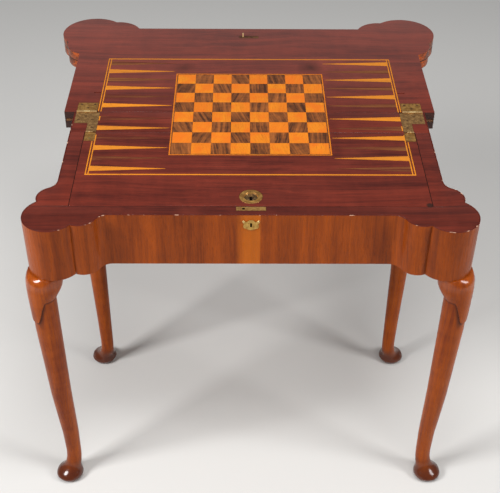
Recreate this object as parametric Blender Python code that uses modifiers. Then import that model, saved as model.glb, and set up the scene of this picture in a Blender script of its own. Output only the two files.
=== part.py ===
"""Triple-top games table, opened for play.

A shallow box with a lidded well stands on two front club legs and two rear club legs that swing
on gates. Two more leaves hinge at its back edge. Here both are folded back together: the games
leaf shows the rear half of the inlay and the plain tea leaf lies shut beneath it. The shapes are
drawn with the fold line at Y zero and the front at negative Y, and are then set down centred.
"""

import math

import bmesh
import bpy
from mathutils import Matrix, Vector

# Driving dimensions, in metres
BOX_WIDTH = 0.722
BOX_DEPTH = 0.352
PLAY_HEIGHT = 0.691
FRIEZE_DEPTH = 0.113
BOARD = 0.0195
OVERHANG = 0.0216
EAR_RADIUS = 0.050
LOBE_RADIUS = 0.0326
LOBE_SPACING = 0.0538
FILLET_RADIUS = 0.0249
RAIL = 0.034
VENEER = 0.0016
SQUARE = 0.0387
PAD_RADIUS = 0.0288
PAD_OUT = 0.030

# Clearances: between still pieces, at running edges, and the swing of the lid's front edge
SEAT = 0.0003
RUNNING = 0.0006
LID_SIDE_GAP = 0.0005
LID_SWING_GAP = 0.0012

# How far a cutter runs past the face that it opens
OVERRUN = 0.012

# Fineness of the curves
ARC_STEP = math.radians(9)
BARREL_SIDES = 14
PIN_SIDES = 10

# Places that follow from the sizes above
HALF = BOX_WIDTH / 2
TOP = PLAY_HEIGHT
BOARD_FOOT = TOP - BOARD
RAIL_TOP = BOARD_FOOT - SEAT
FRIEZE_FOOT = TOP - FRIEZE_DEPTH
LEAF_SHARE_LEVEL = BOARD_FOOT - SEAT / 2
STACK_FOOT = TOP - 2 * BOARD - SEAT
CORE_INSET = VENEER + SEAT
RAIL_INSIDE_X = HALF - CORE_INSET - RAIL
RAIL_INSIDE_Y = -(BOX_DEPTH - CORE_INSET - RAIL)
FOLD_Y = (PAD_OUT + PAD_RADIUS - EAR_RADIUS - OVERHANG) / 2
FOLD_AXIS = (0, 0, TOP + SEAT / 2)

# Colours, each with its roughness and metallic value
MAHOGANY = ((0.25, 0.055, 0.035), 0.35, 0.0)
VENEER_WOOD = ((0.36, 0.10, 0.035), 0.35, 0.0)
LEG_WOOD = ((0.34, 0.085, 0.025), 0.25, 0.0)
INNER_WOOD = ((0.42, 0.24, 0.11), 0.7, 0.0)
BOXWOOD = ((0.80, 0.32, 0.045), 0.35, 0.0)
DARK_WOOD = ((0.13, 0.075, 0.035), 0.4, 0.0)
BRASS = ((0.42, 0.29, 0.10), 0.4, 1.0)
IRON = ((0.12, 0.11, 0.10), 0.55, 1.0)

for old in list(bpy.data.objects):
    bpy.data.objects.remove(old, do_unlink=True)
PARTS = bpy.data.collections.new("games_table")
CUTTERS = bpy.data.collections.new("games_table_cutters")
bpy.context.scene.collection.children.link(PARTS)
bpy.context.scene.collection.children.link(CUTTERS)


# Solids

def add_object(name, bm):
    """Make a named part from a bmesh drawn in fold-line coordinates."""
    mesh = bpy.data.meshes.new(name)
    bmesh.ops.recalc_face_normals(bm, faces=bm.faces)
    bm.to_mesh(mesh)
    bm.free()
    part = bpy.data.objects.new(name, mesh)
    part.location = (0, FOLD_Y, 0)
    PARTS.objects.link(part)
    return part


def plate(name, outlines, bottom, top):
    """Flat outlines, each a list of (x, y), raised from one height to another."""
    curve = bpy.data.curves.new(name, "CURVE")
    curve.dimensions = "2D"
    curve.fill_mode = "BOTH"
    curve.extrude = (top - bottom) / 2
    for outline in outlines:
        spline = curve.splines.new("POLY")
        spline.points.add(len(outline) - 1)
        spline.use_cyclic_u = True
        for point, (x, y) in zip(spline.points, outline):
            point.co = (x, y, 0, 1)
    guide = bpy.data.objects.new(name + "_curve", curve)
    PARTS.objects.link(guide)
    seen = guide.evaluated_get(bpy.context.evaluated_depsgraph_get())
    mesh = bpy.data.meshes.new_from_object(seen)
    bm = bmesh.new()
    bm.from_mesh(mesh)
    bmesh.ops.remove_doubles(bm, verts=bm.verts, dist=SEAT / 10)
    bmesh.ops.translate(bm, verts=bm.verts, vec=(0, 0, (top + bottom) / 2))
    bpy.data.objects.remove(guide)
    bpy.data.meshes.remove(mesh)
    return add_object(name, bm)


def upright_plate(name, outline, y_low, y_high):
    """An outline drawn in (x, z), raised along Y."""
    part = plate(name, [outline], (y_low - y_high) / 2, (y_high - y_low) / 2)
    place = Matrix.Translation((0, (y_low + y_high) / 2, 0))
    part.data.transform(place @ Matrix.Rotation(math.pi / 2, 4, "X"))
    return part


def rectangle(x_low, x_high, y_low, y_high):
    return [(x_low, y_low), (x_high, y_low), (x_high, y_high), (x_low, y_high)]


def box(name, x_span, y_span, z_span):
    bm = bmesh.new()
    spans = [sorted(span) for span in (x_span, y_span, z_span)]
    centre = Vector([(low + high) / 2 for low, high in spans])
    size = Vector([high - low for low, high in spans])
    bmesh.ops.create_cube(bm, size=1, matrix=Matrix.Translation(centre) @ Matrix.Diagonal(size).to_4x4())
    return add_object(name, bm)


def cylinder(name, axis, centre, radius, low, high, sides=BARREL_SIDES):
    """A round bar along X, Y or Z. The centre gives the two other coordinates."""
    bm = bmesh.new()
    bmesh.ops.create_cone(bm, cap_ends=True, segments=sides, radius1=radius, radius2=radius,
                          depth=high - low)
    middle = (low + high) / 2
    if axis == "X":
        turn = Matrix.Rotation(math.pi / 2, 4, "Y")
        place = Vector((middle, centre[0], centre[1]))
    elif axis == "Y":
        turn = Matrix.Rotation(math.pi / 2, 4, "X")
        place = Vector((centre[0], middle, centre[1]))
    else:
        turn = Matrix.Identity(4)
        place = Vector((centre[0], centre[1], middle))
    bmesh.ops.transform(bm, matrix=Matrix.Translation(place) @ turn, verts=bm.verts)
    return add_object(name, bm)


def loft(name, rings):
    """Skin a stack of rings, all with the same number of points, and cap both ends."""
    bm = bmesh.new()
    rows = [[bm.verts.new(point) for point in ring] for ring in rings]
    for lower, upper in zip(rows, rows[1:]):
        for place in range(len(lower)):
            after = (place + 1) % len(lower)
            bm.faces.new((lower[place], lower[after], upper[after], upper[place]))
    bm.faces.new(rows[0][::-1])
    bm.faces.new(rows[-1])
    return add_object(name, bm)


def combine(target, tool, operation):
    """Apply a tool to a part as a live Boolean, and put the tool with the cutters."""
    modifier = target.modifiers.new(operation.lower(), "BOOLEAN")
    modifier.operation = operation
    modifier.solver = "EXACT"
    modifier.object = tool
    if tool.name not in CUTTERS.objects:
        PARTS.objects.unlink(tool)
        CUTTERS.objects.link(tool)
    tool.hide_render = True
    tool.display_type = "WIRE"


def cut(target, *tools):
    for tool in tools:
        combine(target, tool, "DIFFERENCE")


def join(target, *tools):
    for tool in tools:
        combine(target, tool, "UNION")


def keep(target, tool):
    combine(target, tool, "INTERSECT")


def finish(part, look, smooth=False):
    """Give a part a material of its own, and soft shading where it is round."""
    colour, roughness, metallic = look
    material = bpy.data.materials.new(part.name)
    material.use_nodes = True
    shader = material.node_tree.nodes["Principled BSDF"]
    shader.inputs["Base Color"].default_value = (*colour, 1.0)
    shader.inputs["Roughness"].default_value = roughness
    shader.inputs["Metallic"].default_value = metallic
    part.data.materials.clear()
    part.data.materials.append(material)
    if smooth:
        part.data.shade_smooth()
        part.data.set_sharp_from_angle(angle=math.radians(35))
    return part


def mirrored(part, name):
    """The other hand of a finished part, as an object of its own."""
    bpy.context.view_layer.update()
    seen = part.evaluated_get(bpy.context.evaluated_depsgraph_get())
    mesh = bpy.data.meshes.new_from_object(seen)
    bm = bmesh.new()
    bm.from_mesh(mesh)
    bmesh.ops.scale(bm, vec=(-1, 1, 1), verts=bm.verts)
    bpy.data.meshes.remove(mesh)
    return add_object(name, bm)


def both_hands(part):
    """Repeat a right-hand fitting on the left within the same object."""
    modifier = part.modifiers.new("other_hand", "MIRROR")
    modifier.use_mirror_merge = False
    modifier.merge_threshold = SEAT / 10


def hang(name, axis_point, parts, carrier=None):
    """Parent moving parts, and the tools that shape them, to an empty on their joint's axis."""
    bpy.context.view_layer.update()
    place = Vector((axis_point[0], axis_point[1] + FOLD_Y, axis_point[2]))
    empty = bpy.data.objects.new(name, None)
    empty.empty_display_size = BOARD
    empty.location = place
    PARTS.objects.link(empty)
    if carrier:
        empty.parent = carrier
        empty.location = place - carrier.matrix_world.translation
    for part in parts:
        tools = [modifier.object for modifier in part.modifiers if modifier.type == "BOOLEAN"]
        for piece in (part, *tools):
            piece.parent = empty
            piece.location = Vector((0, FOLD_Y, 0)) - place
    return empty


# The eared outline: a round ear at each front corner with a smaller lobe on either side of it

def arc(centre, radius, start, end):
    count = max(2, math.ceil(abs(end - start) / ARC_STEP))
    angles = [start + (end - start) * place / count for place in range(count + 1)]
    return [(centre[0] + radius * math.cos(a), centre[1] + radius * math.sin(a)) for a in angles]


def cusp(offset):
    """Where ear and lobe meet: how far along the side, and how far out from it."""
    ear = EAR_RADIUS + offset
    lobe = LOBE_RADIUS + offset
    along = (LOBE_SPACING ** 2 + ear ** 2 - lobe ** 2) / (2 * LOBE_SPACING)
    return along, math.sqrt(ear ** 2 - along ** 2)


def ear_run(offset, trim=0):
    """The right ear, from its cusp on the side to its cusp on the front."""
    along, out = cusp(offset)
    radius = EAR_RADIUS + offset
    start = math.atan2(along, out) - trim / radius
    end = math.atan2(out, along) - math.pi + trim / radius
    return arc((HALF, -BOX_DEPTH), radius, start, end)


def lobe_run(offset, trim=0):
    """The right front lobe and its hollow fillet, from the cusp to the straight front."""
    along, out = cusp(offset)
    radius = LOBE_RADIUS + offset
    centre = (HALF - LOBE_SPACING, -BOX_DEPTH)
    reach = math.sqrt((LOBE_RADIUS + FILLET_RADIUS) ** 2 - FILLET_RADIUS ** 2)
    lean = math.atan2(FILLET_RADIUS, reach)
    start = math.atan2(-out, LOBE_SPACING - along) - trim / radius
    lobe = arc(centre, radius, start, lean - math.pi)
    hollow_centre = (centre[0] - reach, centre[1] - FILLET_RADIUS)
    return lobe + arc(hollow_centre, FILLET_RADIUS - offset, lean, math.pi / 2)[1:]


def side_run(offset, trim=0):
    """The same lobe on the side: the front one mirrored about the ear's diagonal."""
    return [(HALF - (y + BOX_DEPTH), -BOX_DEPTH - (x - HALF)) for x, y in lobe_run(offset, trim)]


def eared_board(offset, back):
    """The whole front outline, from the right end of the back edge round to the left end."""
    corner = side_run(offset)[::-1] + ear_run(offset)[1:-1] + lobe_run(offset)
    right = [(HALF + offset, back)] + corner
    return right + [(-x, y) for x, y in reversed(right)]


def skin(run_outer, run_inner):
    return run_outer + run_inner[::-1]


CORE_ALONG, CORE_OUT = cusp(-CORE_INSET)
FRONT_JOINT_X = HALF - CORE_ALONG
SIDE_JOINT_Y = -(BOX_DEPTH - CORE_ALONG)


# Rear gates: sizes shared by the back rail, the knuckle block, the gates and the rear legs

STILE = 0.039
GATE_RAIL = 0.020
GATE_PIN_X = 0.062
GATE_PIN_RADIUS = 0.003
GATE_DROP = 0.0008
GATE_LIFT = 0.004
BACK_RAIL = 0.018
FINGERS = 5
TENON_LONG = 0.020
TENON_SHARE = 0.4
REAR_INSET = 0.0180

STILE_X = (HALF - STILE, HALF)
STILE_Y = (-REAR_INSET - STILE, -REAR_INSET)
STILE_CENTRE = (HALF - STILE / 2, -REAR_INSET - STILE / 2)
GATE_Y = (STILE_CENTRE[1] - GATE_RAIL / 2, STILE_CENTRE[1] + GATE_RAIL / 2)
GATE_TOP = STACK_FOOT - GATE_DROP
GATE_FOOT = FRIEZE_FOOT + GATE_LIFT
BACK_RAIL_REAR = GATE_Y[0] - RUNNING
BACK_RAIL_FRONT = BACK_RAIL_REAR - BACK_RAIL
RAIL_END_Y = STILE_Y[0] - RUNNING


# Box lock in the front rail: sizes shared by the rail, the rim, the leaf's link and the lock

LOCK_PLATE_LONG = 0.054
LOCK_PLATE_WIDE = 0.011
LOCK_PLATE_THICK = 0.0016
LOCK_CASE_LONG = 0.046
LOCK_CASE_DEEP = 0.0076
LOCK_CASE_TALL = 0.038
LOCK_WALL = 0.0013
LOCK_BACK = 0.020
LINK_X = -0.0136
LINK_SLOT = 0.0046
LINK_SLOT_WIDE = 0.0056
KEYHOLE_DROP = 0.0215
KEYHOLE_WIDE = 0.0036
KEYHOLE_TALL = 0.0090
LOCK_REBATE = 0.003

LOCK_Y = -BOX_DEPTH + LOCK_BACK
LOCK_CASE_X = (-LOCK_CASE_LONG / 2, LOCK_CASE_LONG / 2)
LOCK_CASE_Y = (LOCK_Y - LOCK_CASE_DEEP / 2, LOCK_Y + LOCK_CASE_DEEP / 2)
LOCK_CASE_Z = (TOP - LOCK_CASE_TALL, TOP - LOCK_PLATE_THICK / 2)
KEYHOLE_X = (-KEYHOLE_WIDE / 2, KEYHOLE_WIDE / 2)
KEYHOLE_Z = (TOP - KEYHOLE_DROP - KEYHOLE_TALL / 2, TOP - KEYHOLE_DROP + KEYHOLE_TALL / 2)


def grown(span, gap):
    low, high = sorted(span)
    return (low - gap, high + gap)


# Frieze: front rail, ear blocks and side rails, sawn to the eared outline and faced with veneer

def core_piece(name, x_span, y_span):
    """A piece of the frieze core, kept from the eared outline between two upright joints."""
    piece = plate(name, [eared_board(-CORE_INSET, BACK_RAIL_REAR)], FRIEZE_FOOT, RAIL_TOP)
    keep(piece, box(name + "_bounds", x_span, y_span, (FRIEZE_FOOT - OVERRUN, TOP)))
    return piece


def front_rail():
    inside = (-FRONT_JOINT_X + SEAT / 2, FRONT_JOINT_X - SEAT / 2)
    rail = core_piece("front_rail", inside, (-BOX_DEPTH - EAR_RADIUS, RAIL_INSIDE_Y))
    mortise_z = (LOCK_CASE_Z[0] - SEAT, TOP)
    cut(rail, box("front_rail_lock_mortise", grown(LOCK_CASE_X, SEAT),
                  (LOCK_CASE_Y[0] - SEAT, RAIL_INSIDE_Y + OVERRUN), mortise_z))
    cut(rail, box("front_rail_lid_lock_rebate", grown((0, 0), LID_LOCK_LONG / 2 + LOCK_REBATE),
                  (LID_FRONT - LOCK_REBATE, RAIL_INSIDE_Y + OVERRUN),
                  (RAIL_TOP - LID_LOCK_TALL - LOCK_REBATE, TOP)))
    cut(rail, box("front_rail_keyhole", KEYHOLE_X, (LOCK_CASE_Y[0], -BOX_DEPTH - OVERRUN), KEYHOLE_Z))
    return finish(rail, INNER_WOOD)


LEG_STILE = 0.027
LEG_STILE_OUT = 0.0141


def ear_block():
    """A solid corner post under each ear, notched inside to leave the well's corner square."""
    right = (FRONT_JOINT_X + SEAT / 2, HALF + EAR_RADIUS + OVERRUN)
    front = -BOX_DEPTH - EAR_RADIUS - OVERRUN
    block = core_piece("ear_block_right", right, (front, SIDE_JOINT_Y - SEAT / 2))
    cut(block, box("ear_block_notch", (FRONT_JOINT_X - OVERRUN, RAIL_INSIDE_X),
                   (RAIL_INSIDE_Y, SIDE_JOINT_Y + OVERRUN), (FRIEZE_FOOT - OVERRUN, TOP)))
    centre = (HALF + LEG_STILE_OUT, -BOX_DEPTH - LEG_STILE_OUT)
    spans = [grown((middle, middle), LEG_STILE / 2 + SEAT) for middle in centre]
    cut(block, box("ear_block_leg_hole", spans[0], spans[1], (FRIEZE_FOOT - OVERRUN, TOP)))
    finish(block, INNER_WOOD, smooth=True)
    return block, finish(mirrored(block, "ear_block_left"), INNER_WOOD, smooth=True)


def side_rail():
    rail = core_piece("side_rail_right", (RAIL_INSIDE_X, HALF + EAR_RADIUS),
                      (SIDE_JOINT_Y + SEAT / 2, RAIL_END_Y))
    finish(rail, INNER_WOOD)
    return rail, finish(mirrored(rail, "side_rail_left"), INNER_WOOD)


def back_rail():
    """The fixed inner back rail, its ends thinned where the rear legs stand at home."""
    end = RAIL_INSIDE_X - SEAT
    step = STILE_X[0] - RUNNING
    outline = [(-end, BACK_RAIL_FRONT), (end, BACK_RAIL_FRONT), (end, RAIL_END_Y), (step, RAIL_END_Y),
               (step, BACK_RAIL_REAR), (-step, BACK_RAIL_REAR), (-step, RAIL_END_Y), (-end, RAIL_END_Y)]
    return finish(plate("back_rail", [outline], FRIEZE_FOOT, RAIL_TOP), INNER_WOOD)


def frieze_veneers():
    """Upright-grained facing: one leaf along the front, one on each side and one round each ear."""
    trim = SEAT / 2
    lobe_out, lobe_in = lobe_run(0, trim), lobe_run(-VENEER, trim)
    front_out = lobe_out + [(-x, y) for x, y in reversed(lobe_out)]
    front_in = lobe_in + [(-x, y) for x, y in reversed(lobe_in)]
    front = plate("frieze_veneer_front", [skin(front_out, front_in)], FRIEZE_FOOT, TOP)
    cut(front, box("veneer_keyhole", KEYHOLE_X, (-BOX_DEPTH - OVERRUN, RAIL_INSIDE_Y), KEYHOLE_Z))
    finish(front, VENEER_WOOD, smooth=True)

    side_out, side_in = side_run(0, trim), side_run(-VENEER, trim)
    side_out.append((HALF, RAIL_END_Y))
    side_in.append((HALF - VENEER, RAIL_END_Y))
    right = plate("frieze_veneer_right", [skin(side_out, side_in)], FRIEZE_FOOT, TOP)
    join(right, box("veneer_strip_end", (HALF - VENEER, HALF), (RAIL_END_Y - OVERRUN, -SEAT / 2),
                    (BOARD_FOOT, TOP)))
    finish(right, VENEER_WOOD, smooth=True)
    finish(mirrored(right, "frieze_veneer_left"), VENEER_WOOD, smooth=True)

    ear = plate("ear_veneer_right", [skin(ear_run(0, trim), ear_run(-VENEER, trim))], FRIEZE_FOOT, TOP)
    finish(ear, VENEER_WOOD, smooth=True)
    finish(mirrored(ear, "ear_veneer_left"), VENEER_WOOD, smooth=True)


# Legs: round, tapering to a narrow ankle and swelling into an offset pad

ANKLE_RADIUS = 0.0155
ANKLE_OUT = 0.0178
PAD_HEIGHT = 0.021
SHAFT_RADIUS = 0.0240
SHAFT_OUT = 0.027
SHAFT_TOP = 0.446
SHAFT_START = 0.070
KNEE_RADIUS = 0.0356
KNEE_OUT = 0.0215
KNEE_DROP = 0.020
KNEE_SIDE_DROP = 0.055
LAPPET_DROP = 0.108
LAPPET_STEP = 0.0026
LAPPET_EDGE = 0.0018
KNEE_SHOULDER = 0.003
KNEE_TUCK = 0.004
LEG_SIDES = 32
LAPPET_HALF_ANGLE = math.radians(64)
LAPPET_TIP_ANGLE = math.radians(16)

# Height as a share of the pad's, and the share of the way from ankle to pad in girth and in lean
PAD_SHARES = ((0, 0.62, 1), (0.13, 0.74, 1), (0.2, 0.8, 1), (0.48, 1, 1), (0.76, 0.88, 0.96),
              (1, 0.53, 0.75), (1.3, 0.21, 0.47), (1.7, 0.07, 0.22), (2.4, 0.01, 0.06))
# Height as a share of the shaft, and the share of the way from ankle to shaft in girth and in lean
SHAFT_SHARES = ((0, 0, 0), (0.16, 0.15, 0.05), (0.29, 0.33, 0.27), (0.5, 0.58, 0.6),
                (0.76, 0.79, 0.8), (1, 1, 1))


def ring(x, y, z, radius, start, sides):
    angles = [start + 2 * math.pi * place / sides for place in range(sides)]
    return [(x + radius * math.cos(a), y + radius * math.sin(a), z) for a in angles]


def leg_rings(centre, direction, ankle, shaft, pad_out, height, sides):
    """Rings from the floor to the top of the shaft. Ankle and shaft are (radius, lean) pairs."""
    rows = []
    for rise, girth, lean in PAD_SHARES:
        rows.append((PAD_HEIGHT * rise, ankle[0] + (PAD_RADIUS - ankle[0]) * girth,
                     ankle[1] + (pad_out - ankle[1]) * lean))
    for rise, girth, lean in SHAFT_SHARES:
        rows.append((SHAFT_START + (height - SHAFT_START) * rise, ankle[0] + (shaft[0] - ankle[0]) * girth,
                     ankle[1] + (shaft[1] - ankle[1]) * lean))
    start = math.atan2(direction[1], direction[0])
    return [ring(centre[0] + direction[0] * out, centre[1] + direction[1] * out, z, radius, start, sides)
            for z, radius, out in rows]


def reach_to_circle(angle, inward, radius):
    """Distance to a circle whose centre lies some way back along the diagonal."""
    return -inward * math.cos(angle) + math.sqrt(radius ** 2 - (inward * math.sin(angle)) ** 2)


def knee_rings(axis, diagonal):
    """Rings of the carved knee: a lappet edge, the swell above it and the shoulder under the ear."""
    to_knee = (SHAFT_OUT - KNEE_OUT) * math.sqrt(2)
    to_ear = SHAFT_OUT * math.sqrt(2)
    swell = FRIEZE_FOOT - KNEE_DROP
    leg_top = FRIEZE_FOOT - SEAT
    columns = []
    for place in range(LEG_SIDES):
        turn = 2 * math.pi * place / LEG_SIDES
        away = min(turn, 2 * math.pi - turn)
        climb = min(max((away - LAPPET_TIP_ANGLE) / (LAPPET_HALF_ANGLE - LAPPET_TIP_ANGLE), 0), 1)
        climb = climb * climb * (3 - 2 * climb)
        edge = FRIEZE_FOOT - LAPPET_DROP + (LAPPET_DROP - KNEE_SIDE_DROP) * climb
        shaft = SHAFT_RADIUS
        lip = shaft + LAPPET_STEP
        full = reach_to_circle(turn, to_knee, KNEE_RADIUS)
        shoulder = min(reach_to_circle(turn, to_ear, EAR_RADIUS + KNEE_SHOULDER), full - KNEE_TUCK)
        column = [(shaft, edge), (lip, edge + LAPPET_EDGE)]
        for share in (0.25, 0.5, 0.75, 1):
            swelling = math.sin(share * math.pi / 2)
            height = edge + LAPPET_EDGE + (swell - edge - LAPPET_EDGE) * share
            column.append((lip + (full - lip) * swelling, height))
        for share in (0.35, 0.7):
            column.append((shoulder + (full - shoulder) * math.cos(share * math.pi / 2),
                           swell + (leg_top - swell) * math.sin(share * math.pi / 2)))
        column.append((shoulder, leg_top))
        angle = diagonal + turn
        columns.append([(axis[0] + r * math.cos(angle), axis[1] + r * math.sin(angle), z)
                        for r, z in column])
    return [list(ring) for ring in zip(*columns)]


def front_leg():
    diagonal = math.radians(-45)
    direction = (1, -1)
    ear = (HALF, -BOX_DEPTH)
    rings = leg_rings(ear, direction, (ANKLE_RADIUS, ANKLE_OUT), (SHAFT_RADIUS, SHAFT_OUT), PAD_OUT,
                      SHAFT_TOP, LEG_SIDES)
    axis = (ear[0] + SHAFT_OUT, ear[1] - SHAFT_OUT)
    leg = loft("front_leg_right", rings + knee_rings(axis, diagonal))
    centre = (ear[0] + LEG_STILE_OUT, ear[1] - LEG_STILE_OUT)
    spans = [grown((middle, middle), LEG_STILE / 2) for middle in centre]
    join(leg, box("front_leg_stile", spans[0], spans[1], (FRIEZE_FOOT - KNEE_DROP / 2, RAIL_TOP)))
    finish(leg, LEG_WOOD, smooth=True)
    finish(mirrored(leg, "front_leg_left"), LEG_WOOD, smooth=True)


REAR_LEG_SIDES = 24
REAR_ANKLE = 0.0145
REAR_SHAFT = 0.0195
REAR_SWAY = 0.001
REAR_PAD_OUT = 0.012
REAR_PAD_BACK_SHARE = 1
REAR_SHOULDER = 0.006


def rear_leg():
    """A plain club leg with a square head that swings on the gate."""
    direction = (1, REAR_PAD_BACK_SHARE)
    rings = leg_rings(STILE_CENTRE, direction, (REAR_ANKLE, 0), (REAR_SHAFT, REAR_SWAY), REAR_PAD_OUT,
                      FRIEZE_FOOT - REAR_SHOULDER, REAR_LEG_SIDES)
    head = STILE / 2 - SEAT
    start = math.atan2(direction[1], direction[0])
    for z in (FRIEZE_FOOT, FRIEZE_FOOT + REAR_SHOULDER):
        rings.append(ring(*STILE_CENTRE, z, head, start, REAR_LEG_SIDES))
    leg = loft("rear_leg_right", rings)
    join(leg, box("rear_leg_head", STILE_X, STILE_Y, (FRIEZE_FOOT + SEAT, GATE_TOP)))
    middle = (GATE_TOP + GATE_FOOT) / 2
    tall = (GATE_TOP - GATE_FOOT) * TENON_SHARE
    cut(leg, box("rear_leg_mortise", (STILE_X[0] - OVERRUN, STILE_X[0] + TENON_LONG + SEAT),
                 grown((STILE_CENTRE[1], STILE_CENTRE[1]), GATE_RAIL * TENON_SHARE / 2 + SEAT),
                 grown((middle, middle), tall / 2 + SEAT)))
    finish(leg, LEG_WOOD, smooth=True)
    return leg, finish(mirrored(leg, "rear_leg_left"), LEG_WOOD, smooth=True)


# Gates: rails with wooden knuckle joints, interleaved on an iron pin

def finger_span(place):
    tall = (GATE_TOP - GATE_FOOT) / FINGERS
    return (GATE_FOOT + tall * place, GATE_FOOT + tall * (place + 1))


def nose(reach_x, body_x):
    """A bar seen from above, square at one end and round about the pin at the other."""
    centre = (reach_x, STILE_CENTRE[1])
    outward = 0 if body_x < reach_x else math.pi
    round_end = arc(centre, GATE_RAIL / 2, outward - math.pi / 2, outward + math.pi / 2)
    return round_end + [(body_x, round_end[-1][1]), (body_x, round_end[0][1])]


KNUCKLE_PAD = 0.040


def knuckle_block():
    """The fixed half of both wooden hinges, one bar with a fingered round nose at each end."""
    right_nose = nose(GATE_PIN_X, 0)[:-2]
    outline = right_nose + [(-x, y) for x, y in reversed(right_nose)]
    block = plate("knuckle_block", [outline], GATE_FOOT, GATE_TOP)
    join(block, box("knuckle_block_pad", (-KNUCKLE_PAD, KNUCKLE_PAD), (BACK_RAIL_REAR + SEAT, STILE_CENTRE[1]),
                    (GATE_FOOT, GATE_TOP)))
    clear = GATE_RAIL / 2 + RUNNING
    for side in (1, -1):
        for place in range(1, FINGERS, 2):
            span = (side * (GATE_PIN_X - clear), side * (GATE_PIN_X + GATE_RAIL))
            cut(block, box(f"knuckle_block_slot_{side}_{place}", span, grown(GATE_Y, OVERRUN),
                           grown(finger_span(place), SEAT / 2)))
        cut(block, cylinder(f"knuckle_block_bore_{side}", "Z", (side * GATE_PIN_X, STILE_CENTRE[1]),
                            GATE_PIN_RADIUS + SEAT, GATE_FOOT - OVERRUN, GATE_TOP + OVERRUN))
    finish(block, INNER_WOOD)


def gate_rail():
    end = STILE_X[0] - SEAT
    rail = plate("gate_rail_right", [nose(GATE_PIN_X, end)], GATE_FOOT, GATE_TOP)
    middle = (GATE_TOP + GATE_FOOT) / 2
    tall = (GATE_TOP - GATE_FOOT) * TENON_SHARE
    join(rail, box("gate_tenon", (end - TENON_LONG, STILE_X[0] + TENON_LONG),
                   grown((STILE_CENTRE[1], STILE_CENTRE[1]), GATE_RAIL * TENON_SHARE / 2),
                   grown((middle, middle), tall / 2)))
    clear = GATE_RAIL / 2 + RUNNING
    for place in range(0, FINGERS, 2):
        low, high = finger_span(place)
        low -= OVERRUN if place == 0 else SEAT / 2
        high += OVERRUN if place == FINGERS - 1 else SEAT / 2
        cut(rail, box(f"gate_rail_slot_{place}", (GATE_PIN_X - GATE_RAIL, GATE_PIN_X + clear),
                      grown(GATE_Y, OVERRUN), (low, high)))
    cut(rail, cylinder("gate_rail_bore", "Z", (GATE_PIN_X, STILE_CENTRE[1]), GATE_PIN_RADIUS + SEAT,
                       GATE_FOOT - OVERRUN, GATE_TOP + OVERRUN))
    finish(rail, LEG_WOOD)
    return rail, finish(mirrored(rail, "gate_rail_left"), LEG_WOOD)


def gate_pins():
    pin = cylinder("gate_pin_right", "Z", (GATE_PIN_X, STILE_CENTRE[1]), GATE_PIN_RADIUS, GATE_FOOT, GATE_TOP)
    finish(pin, IRON, smooth=True)
    finish(mirrored(pin, "gate_pin_left"), IRON, smooth=True)


# Well: a thin floor on bearers inside the rails, and ledges that carry the lid

FLOOR_THICK = 0.014
BEARER = 0.016
LEDGE_WIDE = 0.012
LEDGE_TALL = 0.010
LEDGE_END = 0.020


def well():
    low, high = RAIL_INSIDE_Y + SEAT, BACK_RAIL_FRONT - SEAT
    for label, y_span in (("front", (low, low + BEARER)), ("back", (high - BEARER, high))):
        bearer = box(f"floor_bearer_{label}", (-FRONT_JOINT_X, FRONT_JOINT_X), y_span,
                     (FRIEZE_FOOT, FRIEZE_FOOT + BEARER))
        finish(bearer, INNER_WOOD)
    floor_foot = FRIEZE_FOOT + BEARER + SEAT
    floor = box("well_floor", (-RAIL_INSIDE_X + SEAT, RAIL_INSIDE_X - SEAT), (low, high),
                (floor_foot, floor_foot + FLOOR_THICK))
    finish(floor, INNER_WOOD)
    ledge = box("lid_ledge_right", (RAIL_INSIDE_X - SEAT - LEDGE_WIDE, RAIL_INSIDE_X - SEAT),
                (RAIL_INSIDE_Y + LEDGE_END, BACK_RAIL_FRONT - LEDGE_END), (RAIL_TOP - LEDGE_TALL, RAIL_TOP))
    finish(ledge, INNER_WOOD)
    finish(mirrored(ledge, "lid_ledge_left"), INNER_WOOD)


# Top boards and their joints

SIDE_RIM = 0.030
FRONT_RIM = 0.0266
LID_ROWS = 2

LID_HALF = HALF - SIDE_RIM
LID_FRONT = -BOX_DEPTH + FRONT_RIM
HINGE_LINE = -LID_ROWS * SQUARE

# Brass let into the top, shared by the boards that hold it and by the fittings

PLATE_THICK = 0.0018
HINGE_EDGE = 0.0043
LEAF_PLATE_REACH = 0.0355
BASE_PLATE_REACH = 0.044
BARREL_RADIUS = 0.0028
PIN_RADIUS = 0.0011
TAIL_WIDE = 0.0207
TAIL_EDGE = 0.0017
LINE_OUT = 0.0049
LINE_CLEAR = 0.0015
LID_PLATE_REACH = 0.0316
LID_BARREL_RADIUS = 0.0016
LID_PIN_RADIUS = 0.0007
TEA_HINGE_LONG = 0.0155
TEA_HINGE_GAP = 0.0035
TEA_PLATE_REACH = 0.026
ESCUTCHEON_BACK = 0.0307
ESCUTCHEON_RADIUS = 0.0216
ESCUTCHEON_DEEP = 0.0045
LINK_PLATE_LONG = 0.044

TAIL_X = LID_HALF - TAIL_EDGE - TAIL_WIDE
STRING_X = TAIL_X + LINE_OUT
BARREL_X = (STRING_X + LINE_CLEAR, HALF - HINGE_EDGE)
ESCUTCHEON_Y = LID_FRONT + ESCUTCHEON_BACK
BASE_PLATE_X = (TAIL_X, HALF - HINGE_EDGE)
TAIL_SPAN = (TAIL_X, TAIL_X + TAIL_WIDE)
TAIL_BARREL = (BARREL_X[0], TAIL_SPAN[1])
TEA_X = (HALF + TEA_HINGE_GAP, HALF + TEA_HINGE_GAP + TEA_HINGE_LONG)
TEA_AXIS = (0, LEAF_SHARE_LEVEL)
LID_AXIS = (0, HINGE_LINE, TOP + SEAT / 2)


def barrel_notch(name, x_span, y, z, radius):
    room = radius + RUNNING
    return box(name, grown(x_span, SEAT), grown((y, y), room), grown((z, z), room))


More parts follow.
